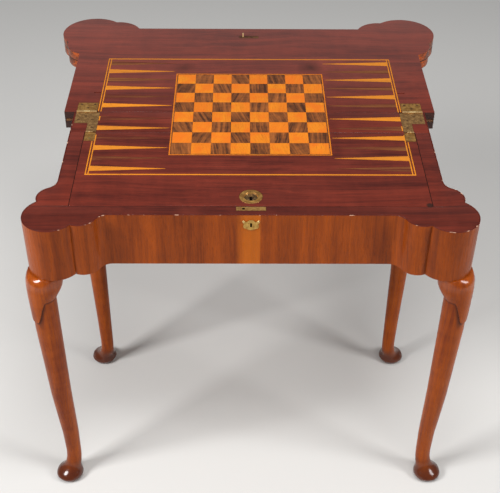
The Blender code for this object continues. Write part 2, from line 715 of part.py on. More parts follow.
def flush_pocket(name, x_span, y_span):
    return box(name, grown(x_span, SEAT), grown(y_span, SEAT), (TOP - PLATE_THICK - SEAT, TOP + OVERRUN))


def leaf_fold_cutters(sign):
    """Recesses for one side's fold hinge, cut in the strip (sign -1) or the leaf (sign 1)."""
    tools = []
    reach = LEAF_PLATE_REACH if sign > 0 else BASE_PLATE_REACH
    span = BARREL_X if sign > 0 else BASE_PLATE_X
    tools.append(flush_pocket(f"fold_plate_pocket_{sign}", span, (0, sign * reach)))
    tools.append(barrel_notch(f"fold_barrel_notch_{sign}", BARREL_X, 0, FOLD_AXIS[2], BARREL_RADIUS))
    for tool in tools:
        both_hands(tool)
    return tools


def tail_cutters(rear):
    """Recesses for the tail that carries the lid: its rear half in the strip, its front half in the lid."""
    end = -BASE_PLATE_REACH if rear else HINGE_LINE - LID_PLATE_REACH
    label = "strip" if rear else "lid"
    tools = [flush_pocket(f"{label}_tail_pocket", TAIL_SPAN, (HINGE_LINE, end)),
             barrel_notch(f"{label}_tail_notch", TAIL_BARREL, HINGE_LINE, LID_AXIS[2], LID_BARREL_RADIUS)]
    for tool in tools:
        both_hands(tool)
    return tools


def tea_cutters(upper):
    """Recesses for the tea leaf's edge hinges, in the two faces that meet."""
    if upper:
        z_span = (LEAF_SHARE_LEVEL - OVERRUN, BOARD_FOOT + PLATE_THICK + SEAT)
    else:
        z_span = (BOARD_FOOT - SEAT - PLATE_THICK - SEAT, LEAF_SHARE_LEVEL + OVERRUN)
    label = "upper" if upper else "lower"
    pocket = box(f"tea_{label}_pocket", grown(TEA_X, SEAT), (-OVERRUN, TEA_PLATE_REACH + SEAT), z_span)
    notch = barrel_notch(f"tea_{label}_notch", TEA_X, TEA_AXIS[0], TEA_AXIS[1], BARREL_RADIUS)
    for tool in (pocket, notch):
        both_hands(tool)
    return [pocket, notch]


# Inlay: a panel of chequered squares with its border, and long points that butt on a thin line

INLAY = 0.0012
SCORE = 0.0003
SQUARES_ACROSS = 8
ROWS_A_HALF = 4
BORDER_DARK = 0.0022
BORDER_LINE = 0.0020
POINTS_A_HALF = 6
POINT_LEAD = 0.0078
POINT_BASE_SHARE = 0.468
POINT_TIP = 0.0008
POINT_CLEAR = 0.0035
STRING = 0.0021
STRING_BACK = 0.1254
STRING_END = 0.0034
STRING_START = 0.0010

CHEQUER = SQUARES_ACROSS / 2 * SQUARE
DARK_EDGE = CHEQUER + BORDER_DARK
BORDER_EDGE = DARK_EDGE + BORDER_LINE
INNER_LINE_X = TAIL_X - SEAT
STRING_REACH = BOX_DEPTH - STRING_BACK
POINT_STEP = (STRING_REACH - STRING_END - POINT_LEAD) / POINTS_A_HALF
POINT_FIRST = POINT_LEAD + POINT_STEP / 2
POINT_BASE = POINT_STEP * POINT_BASE_SHARE
POINT_TIP_X = BORDER_EDGE + POINT_CLEAR
INLAY_SHEET = (TOP - INLAY, TOP)
INLAY_POCKET = (TOP - INLAY - SEAT, TOP + OVERRUN)


def bend(half, width, near, far):
    """A line up one side, across the far end and down the other, open toward the fold."""
    inner = half - width
    turn = far - math.copysign(width, far)
    return [(-half, near), (-half, far), (half, far), (half, near), (inner, near), (inner, turn),
            (-inner, turn), (-inner, near)]


def chequers(board, part):
    """Let a panel of squares into a board. Fine score lines part the squares and the border lines."""
    first, last, sign = {"strip": (0, LID_ROWS, -1), "lid": (LID_ROWS, ROWS_A_HALF, -1),
                         "leaf": (0, ROWS_A_HALF, 1)}[board]
    near = sign * (first * SQUARE + SEAT / 2)
    far = sign * (last * SQUARE - SEAT / 2 if board == "strip" else BORDER_EDGE)
    lands = []
    margin = SCORE / 2
    for row in range(first, last):
        y_low, y_high = sorted((sign * row * SQUARE, sign * (row + 1) * SQUARE))
        for column in range(SQUARES_ACROSS):
            x = (column - SQUARES_ACROSS / 2) * SQUARE
            lands.append(rectangle(x + margin, x + SQUARE - margin, y_low + margin, y_high - margin))
    if board == "strip":
        for low, high in ((CHEQUER + margin, DARK_EDGE - margin), (DARK_EDGE + margin, BORDER_EDGE)):
            lands += [rectangle(low, high, far, near), rectangle(-high, -low, far, near)]
    else:
        edge = sign * margin
        lands.append(bend(DARK_EDGE - margin, BORDER_DARK - SCORE, near, sign * DARK_EDGE - edge))
        lands.append(bend(BORDER_EDGE, BORDER_LINE - margin, near, sign * BORDER_EDGE))
    low, high = sorted((near, far))
    panel = plate(f"{board}_chequers", [rectangle(-BORDER_EDGE, BORDER_EDGE, low, high)],
                  TOP - INLAY, TOP - SCORE)
    join(panel, plate(f"{board}_chequer_lands", lands, TOP - INLAY / 2, TOP))
    past_near = first * SQUARE - OVERRUN
    past_far = far + sign * (OVERRUN if board == "strip" else SEAT)
    low, high = sorted((sign * past_near, past_far))
    wide = BORDER_EDGE + SEAT
    cut(part, plate(f"{board}_chequer_pocket", [rectangle(-wide, wide, low, high)], *INLAY_POCKET))
    return finish(panel, BOXWOOD)


def point(place, sign, base_x, growth=0):
    """One long triangle on the right, from its base near the side to its tip near the squares."""
    y = sign * (POINT_FIRST + POINT_STEP * place)
    base, tip = sign * (POINT_BASE / 2 + growth), sign * (POINT_TIP / 2 + growth)
    tip_x = POINT_TIP_X - growth
    return [(base_x, y - base), (tip_x, y - tip), (tip_x, y + tip), (base_x, y + base)]


def comb(sign, first, outer_start, inner_start, growth=0):
    """The double side line with its points and the cross line, all touching, as one outline."""
    far = sign * (STRING_REACH + growth)
    turn = sign * (STRING_REACH - STRING_END - growth)
    outer, inner = STRING_X + growth, INNER_LINE_X + growth
    outer_in, inner_in = STRING_X - STRING - growth, INNER_LINE_X - STRING - growth
    outer_near, inner_near = sign * (outer_start - growth), sign * (inner_start - growth)
    right = [(outer, far), (outer, outer_near), (outer_in, outer_near), (outer_in, turn), (inner, turn),
             (inner, inner_near), (inner_in, inner_near)]
    for place in range(first, POINTS_A_HALF):
        right += point(place, sign, inner_in, growth)
    right.append((inner_in, turn))
    return right + [(-x, y) for x, y in reversed(right)]


def points_and_lines(board, part):
    sign, first = (1, 0) if board == "leaf" else (-1, LID_ROWS)
    if board == "leaf":
        starts = (STRING_START, STRING_START)
    else:
        first_base = POINT_FIRST + POINT_STEP * first - POINT_BASE / 2
        starts = (-HINGE_LINE + LID_PLATE_REACH + STRING, first_base - STRING)
    inlay = plate(f"{board}_points", [comb(sign, first, *starts)], *INLAY_SHEET)
    cut(part, plate(f"{board}_point_pocket", [comb(sign, first, *starts, SEAT)], *INLAY_POCKET))
    return finish(inlay, BOXWOOD)


def strip_points(strip):
    """The four points between the hinges, each a loose piece of its own."""
    for place in range(LID_ROWS):
        pocket = plate(f"strip_point_pocket_{place}", [point(place, -1, INNER_LINE_X + SEAT, SEAT)],
                       *INLAY_POCKET)
        both_hands(pocket)
        cut(strip, pocket)
        right = plate(f"strip_point_right_{place + 1}", [point(place, -1, INNER_LINE_X)], *INLAY_SHEET)
        finish(right, DARK_WOOD if place else BOXWOOD)
        left = mirrored(right, f"strip_point_left_{place + 1}")
        finish(left, BOXWOOD if place else DARK_WOOD)


def top_piece(name, x_span, y_span):
    """A board of the box's own top, kept from the eared outline."""
    piece = plate(name, [eared_board(-CORE_INSET, -SEAT / 2)], BOARD_FOOT, TOP)
    keep(piece, box(name + "_bounds", x_span, y_span, (BOARD_FOOT - OVERRUN, TOP + OVERRUN)))
    return piece


def box_top():
    """The rim on three sides of the lid and the fixed strip behind it."""
    wide = HALF + EAR_RADIUS + OVERRUN
    rim = top_piece("rim_front", (-wide, wide), (-BOX_DEPTH - EAR_RADIUS - OVERRUN, LID_FRONT))
    cut(rim, box("rim_lock_plate_pocket", grown((-LOCK_PLATE_LONG / 2, LOCK_PLATE_LONG / 2), SEAT),
                 grown((LOCK_Y - LOCK_PLATE_WIDE / 2, LOCK_Y + LOCK_PLATE_WIDE / 2), SEAT),
                 (TOP - LOCK_PLATE_THICK - SEAT, TOP + OVERRUN)))
    cut(rim, box("rim_lock_mortise", grown(LOCK_CASE_X, SEAT), grown(LOCK_CASE_Y, SEAT),
                 (BOARD_FOOT - OVERRUN, TOP + OVERRUN)))
    finish(rim, MAHOGANY, smooth=True)
    right = top_piece("rim_right", (LID_HALF, wide), (LID_FRONT + SEAT, HINGE_LINE - SEAT / 2))
    finish(right, MAHOGANY, smooth=True)
    finish(mirrored(right, "rim_left"), MAHOGANY, smooth=True)
    strip = top_piece("back_strip", (-wide, wide), (HINGE_LINE + SEAT / 2, OVERRUN))
    cut(strip, *leaf_fold_cutters(-1), *tail_cutters(True))
    chequers("strip", strip)
    strip_points(strip)
    finish(strip, MAHOGANY)


# Lid lock: a case under the lid and a bolt that shoots under the front rim

LID_LOCK_LONG = 0.060
LID_LOCK_DEEP = 0.040
LID_LOCK_TALL = 0.011
LID_BOLT_WIDE = 0.018
LID_BOLT_TALL = 0.0035
LID_BOLT_DROP = 0.0016
LID_BOLT_LENGTH = 0.028
LID_BOLT_BACK = 0.0008
LID_LOCK_BACK = 0.0026
LID_KEY_DEEP = 0.008
KEY_WELL_RADIUS = 0.0115
KEY_WELL_DEEP = 0.0032
RING_RADIUS = 0.0150
RING_WIDE = 0.0016
RING_SINK = 0.0006
KEY_SLOT_LONG = 0.010
KEY_SLOT_WIDE = 0.0034


def lid():
    front = LID_FRONT + LID_SWING_GAP
    half = LID_HALF - LID_SIDE_GAP
    board = box("well_lid", (-half, half), (front, HINGE_LINE - SEAT / 2), (BOARD_FOOT, TOP))
    cut(board, *tail_cutters(False))
    cut(board, cylinder("lid_escutcheon_pocket", "Z", (0, ESCUTCHEON_Y), ESCUTCHEON_RADIUS + SEAT,
                        TOP - ESCUTCHEON_DEEP - SEAT, TOP + OVERRUN, 2 * LEG_SIDES))
    slot_x = grown((0, 0), KEY_SLOT_WIDE / 2)
    slot_y = grown((ESCUTCHEON_Y, ESCUTCHEON_Y), KEY_SLOT_LONG / 2)
    cut(board, box("lid_key_hole", slot_x, slot_y, (BOARD_FOOT - OVERRUN, TOP)))
    pieces = [chequers("lid", board), points_and_lines("lid", board)]
    finish(board, MAHOGANY)

    plate_round = cylinder("lid_escutcheon", "Z", (0, ESCUTCHEON_Y), ESCUTCHEON_RADIUS,
                           TOP - ESCUTCHEON_DEEP, TOP - RING_SINK, 2 * LEG_SIDES)
    ring = cylinder("lid_escutcheon_ring", "Z", (0, ESCUTCHEON_Y), RING_RADIUS,
                    TOP - ESCUTCHEON_DEEP / 2, TOP, 2 * LEG_SIDES)
    ring_hollow = cylinder("lid_ring_hollow", "Z", (0, ESCUTCHEON_Y), RING_RADIUS - RING_WIDE,
                           TOP - RING_SINK, TOP + OVERRUN, 2 * LEG_SIDES)
    key_well = cylinder("lid_key_well", "Z", (0, ESCUTCHEON_Y), KEY_WELL_RADIUS,
                        TOP - KEY_WELL_DEEP, TOP + OVERRUN, LEG_SIDES)
    slot = box("lid_key_slot", slot_x, slot_y, (TOP - ESCUTCHEON_DEEP - OVERRUN, TOP + OVERRUN))
    join(plate_round, ring)
    cut(plate_round, ring_hollow, key_well, slot)
    pieces.append(finish(plate_round, BRASS, smooth=True))

    lock_y = (front + LID_LOCK_BACK, front + LID_LOCK_BACK + LID_LOCK_DEEP)
    lock_z = (BOARD_FOOT - SEAT - LID_LOCK_TALL, BOARD_FOOT - SEAT)
    case = box("lid_lock_case", (-LID_LOCK_LONG / 2, LID_LOCK_LONG / 2), lock_y, lock_z)
    bolt_z = (lock_z[1] - LID_BOLT_DROP - LID_BOLT_TALL, lock_z[1] - LID_BOLT_DROP)
    bolt_y = (front + LID_BOLT_BACK, front + LID_BOLT_BACK + LID_BOLT_LENGTH)
    bolt_x = (-LID_BOLT_WIDE / 2, LID_BOLT_WIDE / 2)
    cut(case, box("lid_bolt_way", grown(bolt_x, SEAT), (front - OVERRUN, bolt_y[1] + SEAT),
                  grown(bolt_z, SEAT)))
    cut(case, box("lid_case_key_slot", slot_x, slot_y, (lock_z[1] - LID_KEY_DEEP, TOP)))
    pieces.append(finish(case, IRON))
    bolt = finish(box("lid_lock_bolt", bolt_x, bolt_y, bolt_z), BRASS)
    return board, pieces, bolt


# Leaves

def leaves():
    outline = [(x, -y) for x, y in eared_board(OVERHANG, -SEAT / 2)]
    games = plate("games_leaf", [outline], BOARD_FOOT, TOP)
    cut(games, *leaf_fold_cutters(1), *tea_cutters(True))
    cut(games, box("link_plate_pocket", grown((-LINK_PLATE_LONG / 2, LINK_PLATE_LONG / 2), SEAT),
                   grown((-LOCK_Y - LOCK_PLATE_WIDE / 2, -LOCK_Y + LOCK_PLATE_WIDE / 2), SEAT),
                   (TOP - LOCK_PLATE_THICK - SEAT, TOP + OVERRUN)))
    rest = barrel_notch("lid_barrel_rest", TAIL_BARREL, -HINGE_LINE, TOP, LID_BARREL_RADIUS)
    both_hands(rest)
    cut(games, rest)
    pieces = [chequers("leaf", games), points_and_lines("leaf", games)]
    finish(games, MAHOGANY, smooth=True)
    tea = plate("tea_leaf", [outline], STACK_FOOT, BOARD_FOOT - SEAT)
    cut(tea, *tea_cutters(False))
    finish(tea, MAHOGANY, smooth=True)
    return games, tea, pieces


# Hinges: flush plates with knuckles on a pin

def knuckle_spans(x_span, count):
    step = (x_span[1] - x_span[0]) / count
    edges = [x_span[0] + step * place for place in range(count + 1)]
    return [(low + SEAT / 2, high - SEAT / 2) for low, high in zip(edges, edges[1:])]


def hinge(name, plates, barrels):
    """Flush plates with knuckles. A barrel is (place, radius, pin, spans, pinned): the half that is
    pinned carries the pin through the other half's bore, as it is riveted in the real hinge."""
    part = plates[0]
    part.name = name
    join(part, *plates[1:])
    for number, (place, radius, pin, spans, pinned) in enumerate(barrels):
        for span in spans:
            label = f"{name}_{number}_{round(span[0] / SEAT)}"
            join(part, cylinder(f"{label}_knuckle", "X", place, radius, *span))
            if not pinned:
                cut(part, cylinder(f"{label}_bore", "X", place, pin + SEAT, *grown(span, SEAT), PIN_SIDES))
        if pinned:
            ends = (spans[0][0] + SEAT, spans[-1][1] - SEAT)
            join(part, cylinder(f"{name}_{number}_pin", "X", place, pin, *ends, PIN_SIDES))
    return finish(part, BRASS, smooth=True)


def pair(part):
    """A finished right-hand fitting with its left-hand twin."""
    twin = mirrored(part, part.name.replace("_right", "_left"))
    return [part, finish(twin, BRASS, smooth=True)]


def fold_hinges():
    """Back edge hinges. The box's plate runs on in a tail that carries the lid's own hinge."""
    sheet = (TOP - PLATE_THICK, TOP)
    knuckles = knuckle_spans(BARREL_X, 3)
    tail_knuckles = knuckle_spans(TAIL_BARREL, 3)
    fold_place = (0, FOLD_AXIS[2])
    lid_place = (HINGE_LINE, LID_AXIS[2])
    fold_clear, fold_near = BARREL_RADIUS + RUNNING, BARREL_RADIUS + PLATE_THICK
    lid_clear, lid_near = LID_BARREL_RADIUS + RUNNING, LID_BARREL_RADIUS + PLATE_THICK

    leaf = hinge("leaf_hinge_right", [
        box("leaf_plate", BARREL_X, (fold_clear, LEAF_PLATE_REACH), sheet),
        box("leaf_tongue", knuckles[1], (PIN_RADIUS + RUNNING, fold_near), sheet),
    ], [(fold_place, BARREL_RADIUS, PIN_RADIUS, knuckles[1:2], False)])

    tongues = [box(f"base_tongue_{place}", knuckles[place], (-fold_near, -PIN_RADIUS - RUNNING), sheet)
               for place in (0, 2)]
    lid_pin_clear = LID_PIN_RADIUS + RUNNING
    tail_reach = (HINGE_LINE + lid_pin_clear, HINGE_LINE + lid_near)
    tail_tongues = [box(f"tail_tongue_{place}", tail_knuckles[place], tail_reach, sheet) for place in (0, 2)]
    base = hinge("base_hinge_right", [
        box("base_plate", BASE_PLATE_X, (-BASE_PLATE_REACH, -fold_clear), sheet),
        box("base_tail", TAIL_SPAN, (HINGE_LINE + lid_clear, -BASE_PLATE_REACH + PLATE_THICK), sheet),
        *tongues, *tail_tongues,
    ], [(fold_place, BARREL_RADIUS, PIN_RADIUS, [knuckles[0], knuckles[2]], True),
        (lid_place, LID_BARREL_RADIUS, LID_PIN_RADIUS, [tail_knuckles[0], tail_knuckles[2]], True)])

    lid_part = hinge("lid_hinge_right", [
        box("lid_plate", TAIL_SPAN, (HINGE_LINE - LID_PLATE_REACH, HINGE_LINE - lid_clear), sheet),
        box("lid_tongue", tail_knuckles[1], (HINGE_LINE - lid_near, HINGE_LINE - lid_pin_clear), sheet),
    ], [(lid_place, LID_BARREL_RADIUS, LID_PIN_RADIUS, tail_knuckles[1:2], False)])
    pair(base)
    return pair(leaf), pair(lid_part)


def tea_hinges():
    """Small edge hinges at the ends of the fold, between the games leaf and the tea leaf."""
    knuckles = knuckle_spans(TEA_X, 3)
    reach = (BARREL_RADIUS + RUNNING, TEA_PLATE_REACH)
    near = (PIN_RADIUS + RUNNING, BARREL_RADIUS + PLATE_THICK)
    upper_z = (BOARD_FOOT, BOARD_FOOT + PLATE_THICK)
    lower_z = (BOARD_FOOT - SEAT - PLATE_THICK, BOARD_FOOT - SEAT)
    upper = hinge("tea_hinge_upper_right", [
        box("tea_plate_upper", TEA_X, reach, upper_z), box("tea_tongue_upper", knuckles[1], near, upper_z),
    ], [(TEA_AXIS, BARREL_RADIUS, PIN_RADIUS, knuckles[1:2], False)])
    lower = hinge("tea_hinge_lower_right", [
        box("tea_plate_lower", TEA_X, reach, lower_z),
        *[box(f"tea_tongue_lower_{place}", knuckles[place], near, lower_z) for place in (0, 2)],
    ], [(TEA_AXIS, BARREL_RADIUS, PIN_RADIUS, [knuckles[0], knuckles[2]], True)])
    return pair(upper), pair(lower)


# Box lock, its link on the leaf and the keyhole plate on the frieze

LINK_THICK = 0.0026
LINK_WIDE = 0.0044
LINK_TALL = 0.0090
LINK_EYE_WIDE = 0.0024
LINK_EYE_TALL = 0.0038
LINK_EYE_DROP = 0.0064
BOLT_WIDE = 0.0016
BOLT_NOSE_TALL = 0.0028
BOLT_STEM_LONG = 0.0050
BOLT_FOOT_LONG = 0.0174
BOLT_FOOT_TOP = 0.0104
BOLT_FOOT_TALL = 0.0080
BOLT_CLEAR = 0.0006
KEY_PLATE_WIDE = 0.032
KEY_PLATE_TALL = 0.0225
KEY_PLATE_THICK = 0.0010

# Outline of the keyhole plate as shares of its half width and half height, right half, top to bottom
KEY_PLATE_SHARES = ((0, 1), (0.22, 0.98), (0.38, 0.78), (0.52, 0.62), (0.66, 0.72), (0.84, 0.92),
                    (0.98, 0.72), (0.92, 0.38), (0.8, 0.2), (0.88, -0.1), (0.88, -0.42), (0.7, -0.68),
                    (0.45, -0.78), (0.26, -0.95), (0, -1))


def box_lock():
    plate_x = grown((0, 0), LOCK_PLATE_LONG / 2)
    plate_y = grown((LOCK_Y, LOCK_Y), LOCK_PLATE_WIDE / 2)
    plate_part = box("box_lock_case", plate_x, plate_y, (TOP - LOCK_PLATE_THICK, TOP))
    join(plate_part, box("lock_case_body", LOCK_CASE_X, LOCK_CASE_Y, LOCK_CASE_Z))
    inside_x = grown(LOCK_CASE_X, -LOCK_WALL)
    inside_y = grown(LOCK_CASE_Y, -LOCK_WALL)
    inside_z = (LOCK_CASE_Z[0] + LOCK_WALL, TOP - LOCK_PLATE_THICK)
    cut(plate_part, box("lock_inside", inside_x, inside_y, inside_z))
    cut(plate_part, box("lock_link_slot", grown((LINK_X, LINK_X), LINK_SLOT / 2),
                        grown((LOCK_Y, LOCK_Y), LINK_SLOT_WIDE / 2),
                        (inside_z[1] - LOCK_WALL, TOP + OVERRUN)))
    cut(plate_part, box("lock_key_slot", KEYHOLE_X, (LOCK_CASE_Y[0] - OVERRUN, inside_y[0] + LOCK_WALL),
                        KEYHOLE_Z))
    finish(plate_part, BRASS)

    eye_z = TOP - LINK_EYE_DROP
    low_x = inside_x[0] + SEAT
    nose_tip = LINK_X - LINK_THICK / 2 - BOLT_CLEAR
    foot_z = (TOP - BOLT_FOOT_TOP - BOLT_FOOT_TALL, TOP - BOLT_FOOT_TOP)
    nose_z = (eye_z - BOLT_NOSE_TALL / 2, eye_z + BOLT_NOSE_TALL / 2)
    foot_end, stem_end = low_x + BOLT_FOOT_LONG, low_x + BOLT_STEM_LONG
    outline = [(low_x, foot_z[0]), (foot_end, foot_z[0]), (foot_end, foot_z[1]), (stem_end, foot_z[1]),
               (stem_end, nose_z[0]), (nose_tip, nose_z[0]), (nose_tip, nose_z[1]), (low_x, nose_z[1])]
    bolt = upright_plate("box_lock_bolt", outline, LOCK_Y - BOLT_WIDE / 2, LOCK_Y + BOLT_WIDE / 2)
    finish(bolt, IRON)

    link_x, link_y = (LINK_X, LINK_X), (-LOCK_Y, -LOCK_Y)
    link = box("link_plate", grown((0, 0), LINK_PLATE_LONG / 2), grown(link_y, LOCK_PLATE_WIDE / 2),
               (TOP - LOCK_PLATE_THICK, TOP))
    join(link, box("link_post", grown(link_x, LINK_THICK / 2), grown(link_y, LINK_WIDE / 2),
                   (TOP - LOCK_PLATE_THICK / 2, TOP + LINK_TALL)))
    link_eye = TOP + SEAT + LINK_EYE_DROP
    cut(link, box("link_eye", grown(link_x, LINK_THICK), grown(link_y, LINK_EYE_WIDE / 2),
                  grown((link_eye, link_eye), LINK_EYE_TALL / 2)))
    finish(link, BRASS)
    return bolt, link


def keyhole_plate():
    half_wide, half_tall = KEY_PLATE_WIDE / 2, KEY_PLATE_TALL / 2
    right = [(x * half_wide, y * half_tall) for x, y in KEY_PLATE_SHARES]
    outline = right + [(-x, y) for x, y in reversed(right[1:-1])]
    outline = [(x, TOP - KEYHOLE_DROP + z) for x, z in outline]
    back = -BOX_DEPTH - SEAT
    part = upright_plate("frieze_escutcheon", outline, back - KEY_PLATE_THICK, back)
    cut(part, box("escutcheon_keyhole", KEYHOLE_X, (-BOX_DEPTH - OVERRUN, -BOX_DEPTH + OVERRUN), KEYHOLE_Z))
    return finish(part, BRASS)


# Put the table together

front_rail()
ear_block()
side_rail()
back_rail()
frieze_veneers()
front_leg()
rear_right, rear_left = rear_leg()
knuckle_block()
gate_right, gate_left = gate_rail()
gate_pins()
well()
box_top()
lid_board, lid_pieces, lid_bolt = lid()
games_board, tea_board, leaf_pieces = leaves()
leaf_hinges, lid_hinges = fold_hinges()
tea_upper, tea_lower = tea_hinges()
lock_bolt, link_part = box_lock()
keyhole_plate()

fold = hang("fold_axis", FOLD_AXIS, [games_board, link_part, *leaf_pieces, *leaf_hinges, *tea_upper])
hang("tea_axis", (0, *TEA_AXIS), [tea_board, *tea_lower], fold)
lid_turn = hang("lid_axis", LID_AXIS, [lid_board, *lid_pieces, *lid_hinges])
hang("lid_bolt_slide", (0, LID_FRONT, BOARD_FOOT), [lid_bolt], lid_turn)
hang("box_bolt_slide", (LINK_X, LOCK_Y, TOP), [lock_bolt])
hang("gate_axis_right", (GATE_PIN_X, STILE_CENTRE[1], GATE_FOOT), [gate_right, rear_right])
hang("gate_axis_left", (-GATE_PIN_X, STILE_CENTRE[1], GATE_FOOT), [gate_left, rear_left])
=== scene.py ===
import math

import bmesh
import bpy
from mathutils import Matrix, Vector


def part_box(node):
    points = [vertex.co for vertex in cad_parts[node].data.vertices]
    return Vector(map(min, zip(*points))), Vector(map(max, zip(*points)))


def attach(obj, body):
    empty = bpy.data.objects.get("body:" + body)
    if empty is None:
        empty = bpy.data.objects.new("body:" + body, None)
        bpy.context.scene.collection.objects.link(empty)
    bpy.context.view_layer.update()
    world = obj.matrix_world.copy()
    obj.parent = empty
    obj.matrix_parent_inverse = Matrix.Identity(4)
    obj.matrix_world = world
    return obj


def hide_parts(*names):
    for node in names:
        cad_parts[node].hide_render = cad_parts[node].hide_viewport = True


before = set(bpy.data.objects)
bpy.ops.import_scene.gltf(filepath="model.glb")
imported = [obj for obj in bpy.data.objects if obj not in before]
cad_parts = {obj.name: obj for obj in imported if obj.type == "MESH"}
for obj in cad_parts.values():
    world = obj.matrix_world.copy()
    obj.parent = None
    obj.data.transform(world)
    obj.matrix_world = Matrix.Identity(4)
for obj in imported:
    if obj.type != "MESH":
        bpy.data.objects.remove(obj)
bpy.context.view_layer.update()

# Camera, floor and light: a pale studio floor seen from in front and above, with one soft lamp on
# the left, a weaker one on the right and one overhead, low enough that the wood keeps its depth.
CAMERA_PLACE = Vector((-0.0201, -1.7755, 1.7694))
CAMERA_DOWN = math.radians(39.06)
CAMERA_TURN = math.radians(0.75)
CAMERA_TILT = math.radians(0.57)
LENS = 71.6
SENSOR_WIDTH = 36
SOFTBOXES = (("left_softbox", (-2.4, -1.5, 2.4), (0, -0.1, 0.5), 1.0, 1.0, 90),
             ("right_softbox", (2.4, -1.3, 2.0), (0, -0.1, 0.4), 0.8, 1.2, 40),
             ("overhead_softbox", (0.2, -0.9, 3.3), (0, -0.1, 0.6), 1.3, 0.9, 42))
STUDIO_COLOUR = (0.80, 0.81, 0.82, 1)
STUDIO_STRENGTH = 0.24
FLOOR_SIZE = 14.0
FLOOR_COLOUR = (0.70, 0.69, 0.67, 1)
FLOOR_ROUGHNESS = 0.85
FLOOR_SPECULAR = 0.1


def new_object(name, data):
    thing = bpy.data.objects.new(name, data)
    bpy.context.scene.collection.objects.link(thing)
    return thing


def new_mesh(name, shape):
    """The mesh of a finished bmesh, which is freed."""
    data = bpy.data.meshes.new(name)
    shape.to_mesh(data)
    shape.free()
    return data


camera_data = bpy.data.cameras.new("front_camera")
camera_data.sensor_width = SENSOR_WIDTH
camera_data.lens = LENS
camera = new_object("front_camera", camera_data)
ahead = Vector((math.sin(CAMERA_TURN) * math.cos(CAMERA_DOWN),
                math.cos(CAMERA_TURN) * math.cos(CAMERA_DOWN), -math.sin(CAMERA_DOWN)))
level = Vector((math.cos(CAMERA_TURN), -math.sin(CAMERA_TURN), 0))
rightward = math.cos(CAMERA_TILT) * level + math.sin(CAMERA_TILT) * level.cross(ahead)
upward = rightward.cross(ahead)
facing = Matrix((rightward, upward, -ahead)).transposed().to_4x4()
camera.matrix_world = Matrix.Translation(CAMERA_PLACE) @ facing
bpy.context.scene.camera = camera

for lamp_name, place, aim, wide, tall, power in SOFTBOXES:
    lamp_data = bpy.data.lights.new(lamp_name, "AREA")
    lamp_data.shape = "RECTANGLE"
    lamp_data.size = wide
    lamp_data.size_y = tall
    lamp_data.energy = power
    lamp = new_object(lamp_name, lamp_data)
    lamp.location = place
    lamp.rotation_euler = (Vector(aim) - Vector(place)).to_track_quat("-Z", "Y").to_euler()

studio = bpy.data.worlds.new("studio")
studio.use_nodes = True
studio.node_tree.nodes["Background"].inputs["Color"].default_value = STUDIO_COLOUR
studio.node_tree.nodes["Background"].inputs["Strength"].default_value = STUDIO_STRENGTH
bpy.context.scene.world = studio

floor_shape = bmesh.new()
bmesh.ops.create_grid(floor_shape, x_segments=1, y_segments=1, size=FLOOR_SIZE / 2)
floor = new_object("studio_floor", new_mesh("studio_floor", floor_shape))
floor_finish = bpy.data.materials.new("studio_floor")
floor_finish.use_nodes = True
floor_shader = floor_finish.node_tree.nodes["Principled BSDF"]
floor_shader.inputs["Base Color"].default_value = FLOOR_COLOUR
floor_shader.inputs["Roughness"].default_value = FLOOR_ROUGHNESS
floor_shader.inputs["Specular IOR Level"].default_value = FLOOR_SPECULAR
floor.data.materials.append(floor_finish)
bpy.context.scene.view_settings.view_transform = "Standard"

# Carcase: a front rail, solid ear blocks, side rails, a back rail and the fixed half of the gate
# joints, sawn from pine, glued up and left bare inside. The well's floor lies on two bearers.
PINE_PALE = (0.50, 0.30, 0.14, 1)
PINE_DARK = (0.26, 0.13, 0.055, 1)
SIDE_PINE_PALE = (0.48, 0.29, 0.14, 1)
SIDE_PINE_DARK = (0.25, 0.13, 0.055, 1)
PINE_GLOSS = (0.6, 0.8)
ALONG = (0, 0, 0)
ACROSS = (0, 0, math.radians(90))

# How far each layer of the grain is drawn along the board and across it, and its detail.
STREAK_LAYER = ((2.0, 46.0, 46.0), 5.0)
FIBRE_LAYER = ((9.0, 330.0, 330.0), 3.0)
DRIFT_LAYER = ((1.2, 7.0, 7.0), 2.0)
FIGURE_LAYER = ((34.0, 9.0, 9.0), 3.0)
PORE_LAYER = ((46.0, 1500.0, 1500.0), 2.0)
GRAIN_ROUGHNESS = 0.6
GRAIN_WANDER = (0.0, 0.05, 0.05)
PORE_COLOUR = (0.012, 0.005, 0.003, 1)


def add_node(tree, kind, inputs=(), **settings):
    """A node with its settings, and its inputs as numbers or as sockets to link from."""
    node = tree.nodes.new(kind)
    for key, value in settings.items():
        setattr(node, key, value)
    for key, value in dict(inputs).items():
        if isinstance(value, bpy.types.NodeSocket):
            tree.links.new(value, node.inputs[key])
        else:
            node.inputs[key].default_value = value
    return node


def blended(tree, share, first, second):
    """One colour laid over another by a share from 0 to 1."""
    node = add_node(tree, "ShaderNodeMix", data_type="RGBA")
    for key, value in ((0, share), (6, first), (7, second)):
        if isinstance(value, bpy.types.NodeSocket):
            tree.links.new(value, node.inputs[key])
        else:
            node.inputs[key].default_value = value
    return node.outputs[2]


def spread(tree, value, low, high, to_low=0.0, to_high=1.0):
    """A value mapped from the range low to high onto another, and held at its ends."""
    inputs = {"Value": value, "From Min": low, "From Max": high, "To Min": to_low,
              "To Max": to_high}
    return add_node(tree, "ShaderNodeMapRange", inputs).outputs["Result"]


def calculated(tree, operation, first, second=0.0):
    return add_node(tree, "ShaderNodeMath", {0: first, 1: second}, operation=operation).outputs[0]


def product(tree, first, *others):
    for other in others:
        first = calculated(tree, "MULTIPLY", first, other)
    return first


def distance_from(tree, value, middle):
    return calculated(tree, "ABSOLUTE", calculated(tree, "SUBTRACT", value, middle))


def vectors(tree, operation, first, second):
    return add_node(tree, "ShaderNodeVectorMath", {0: first, 1: second},
                    operation=operation).outputs[0]


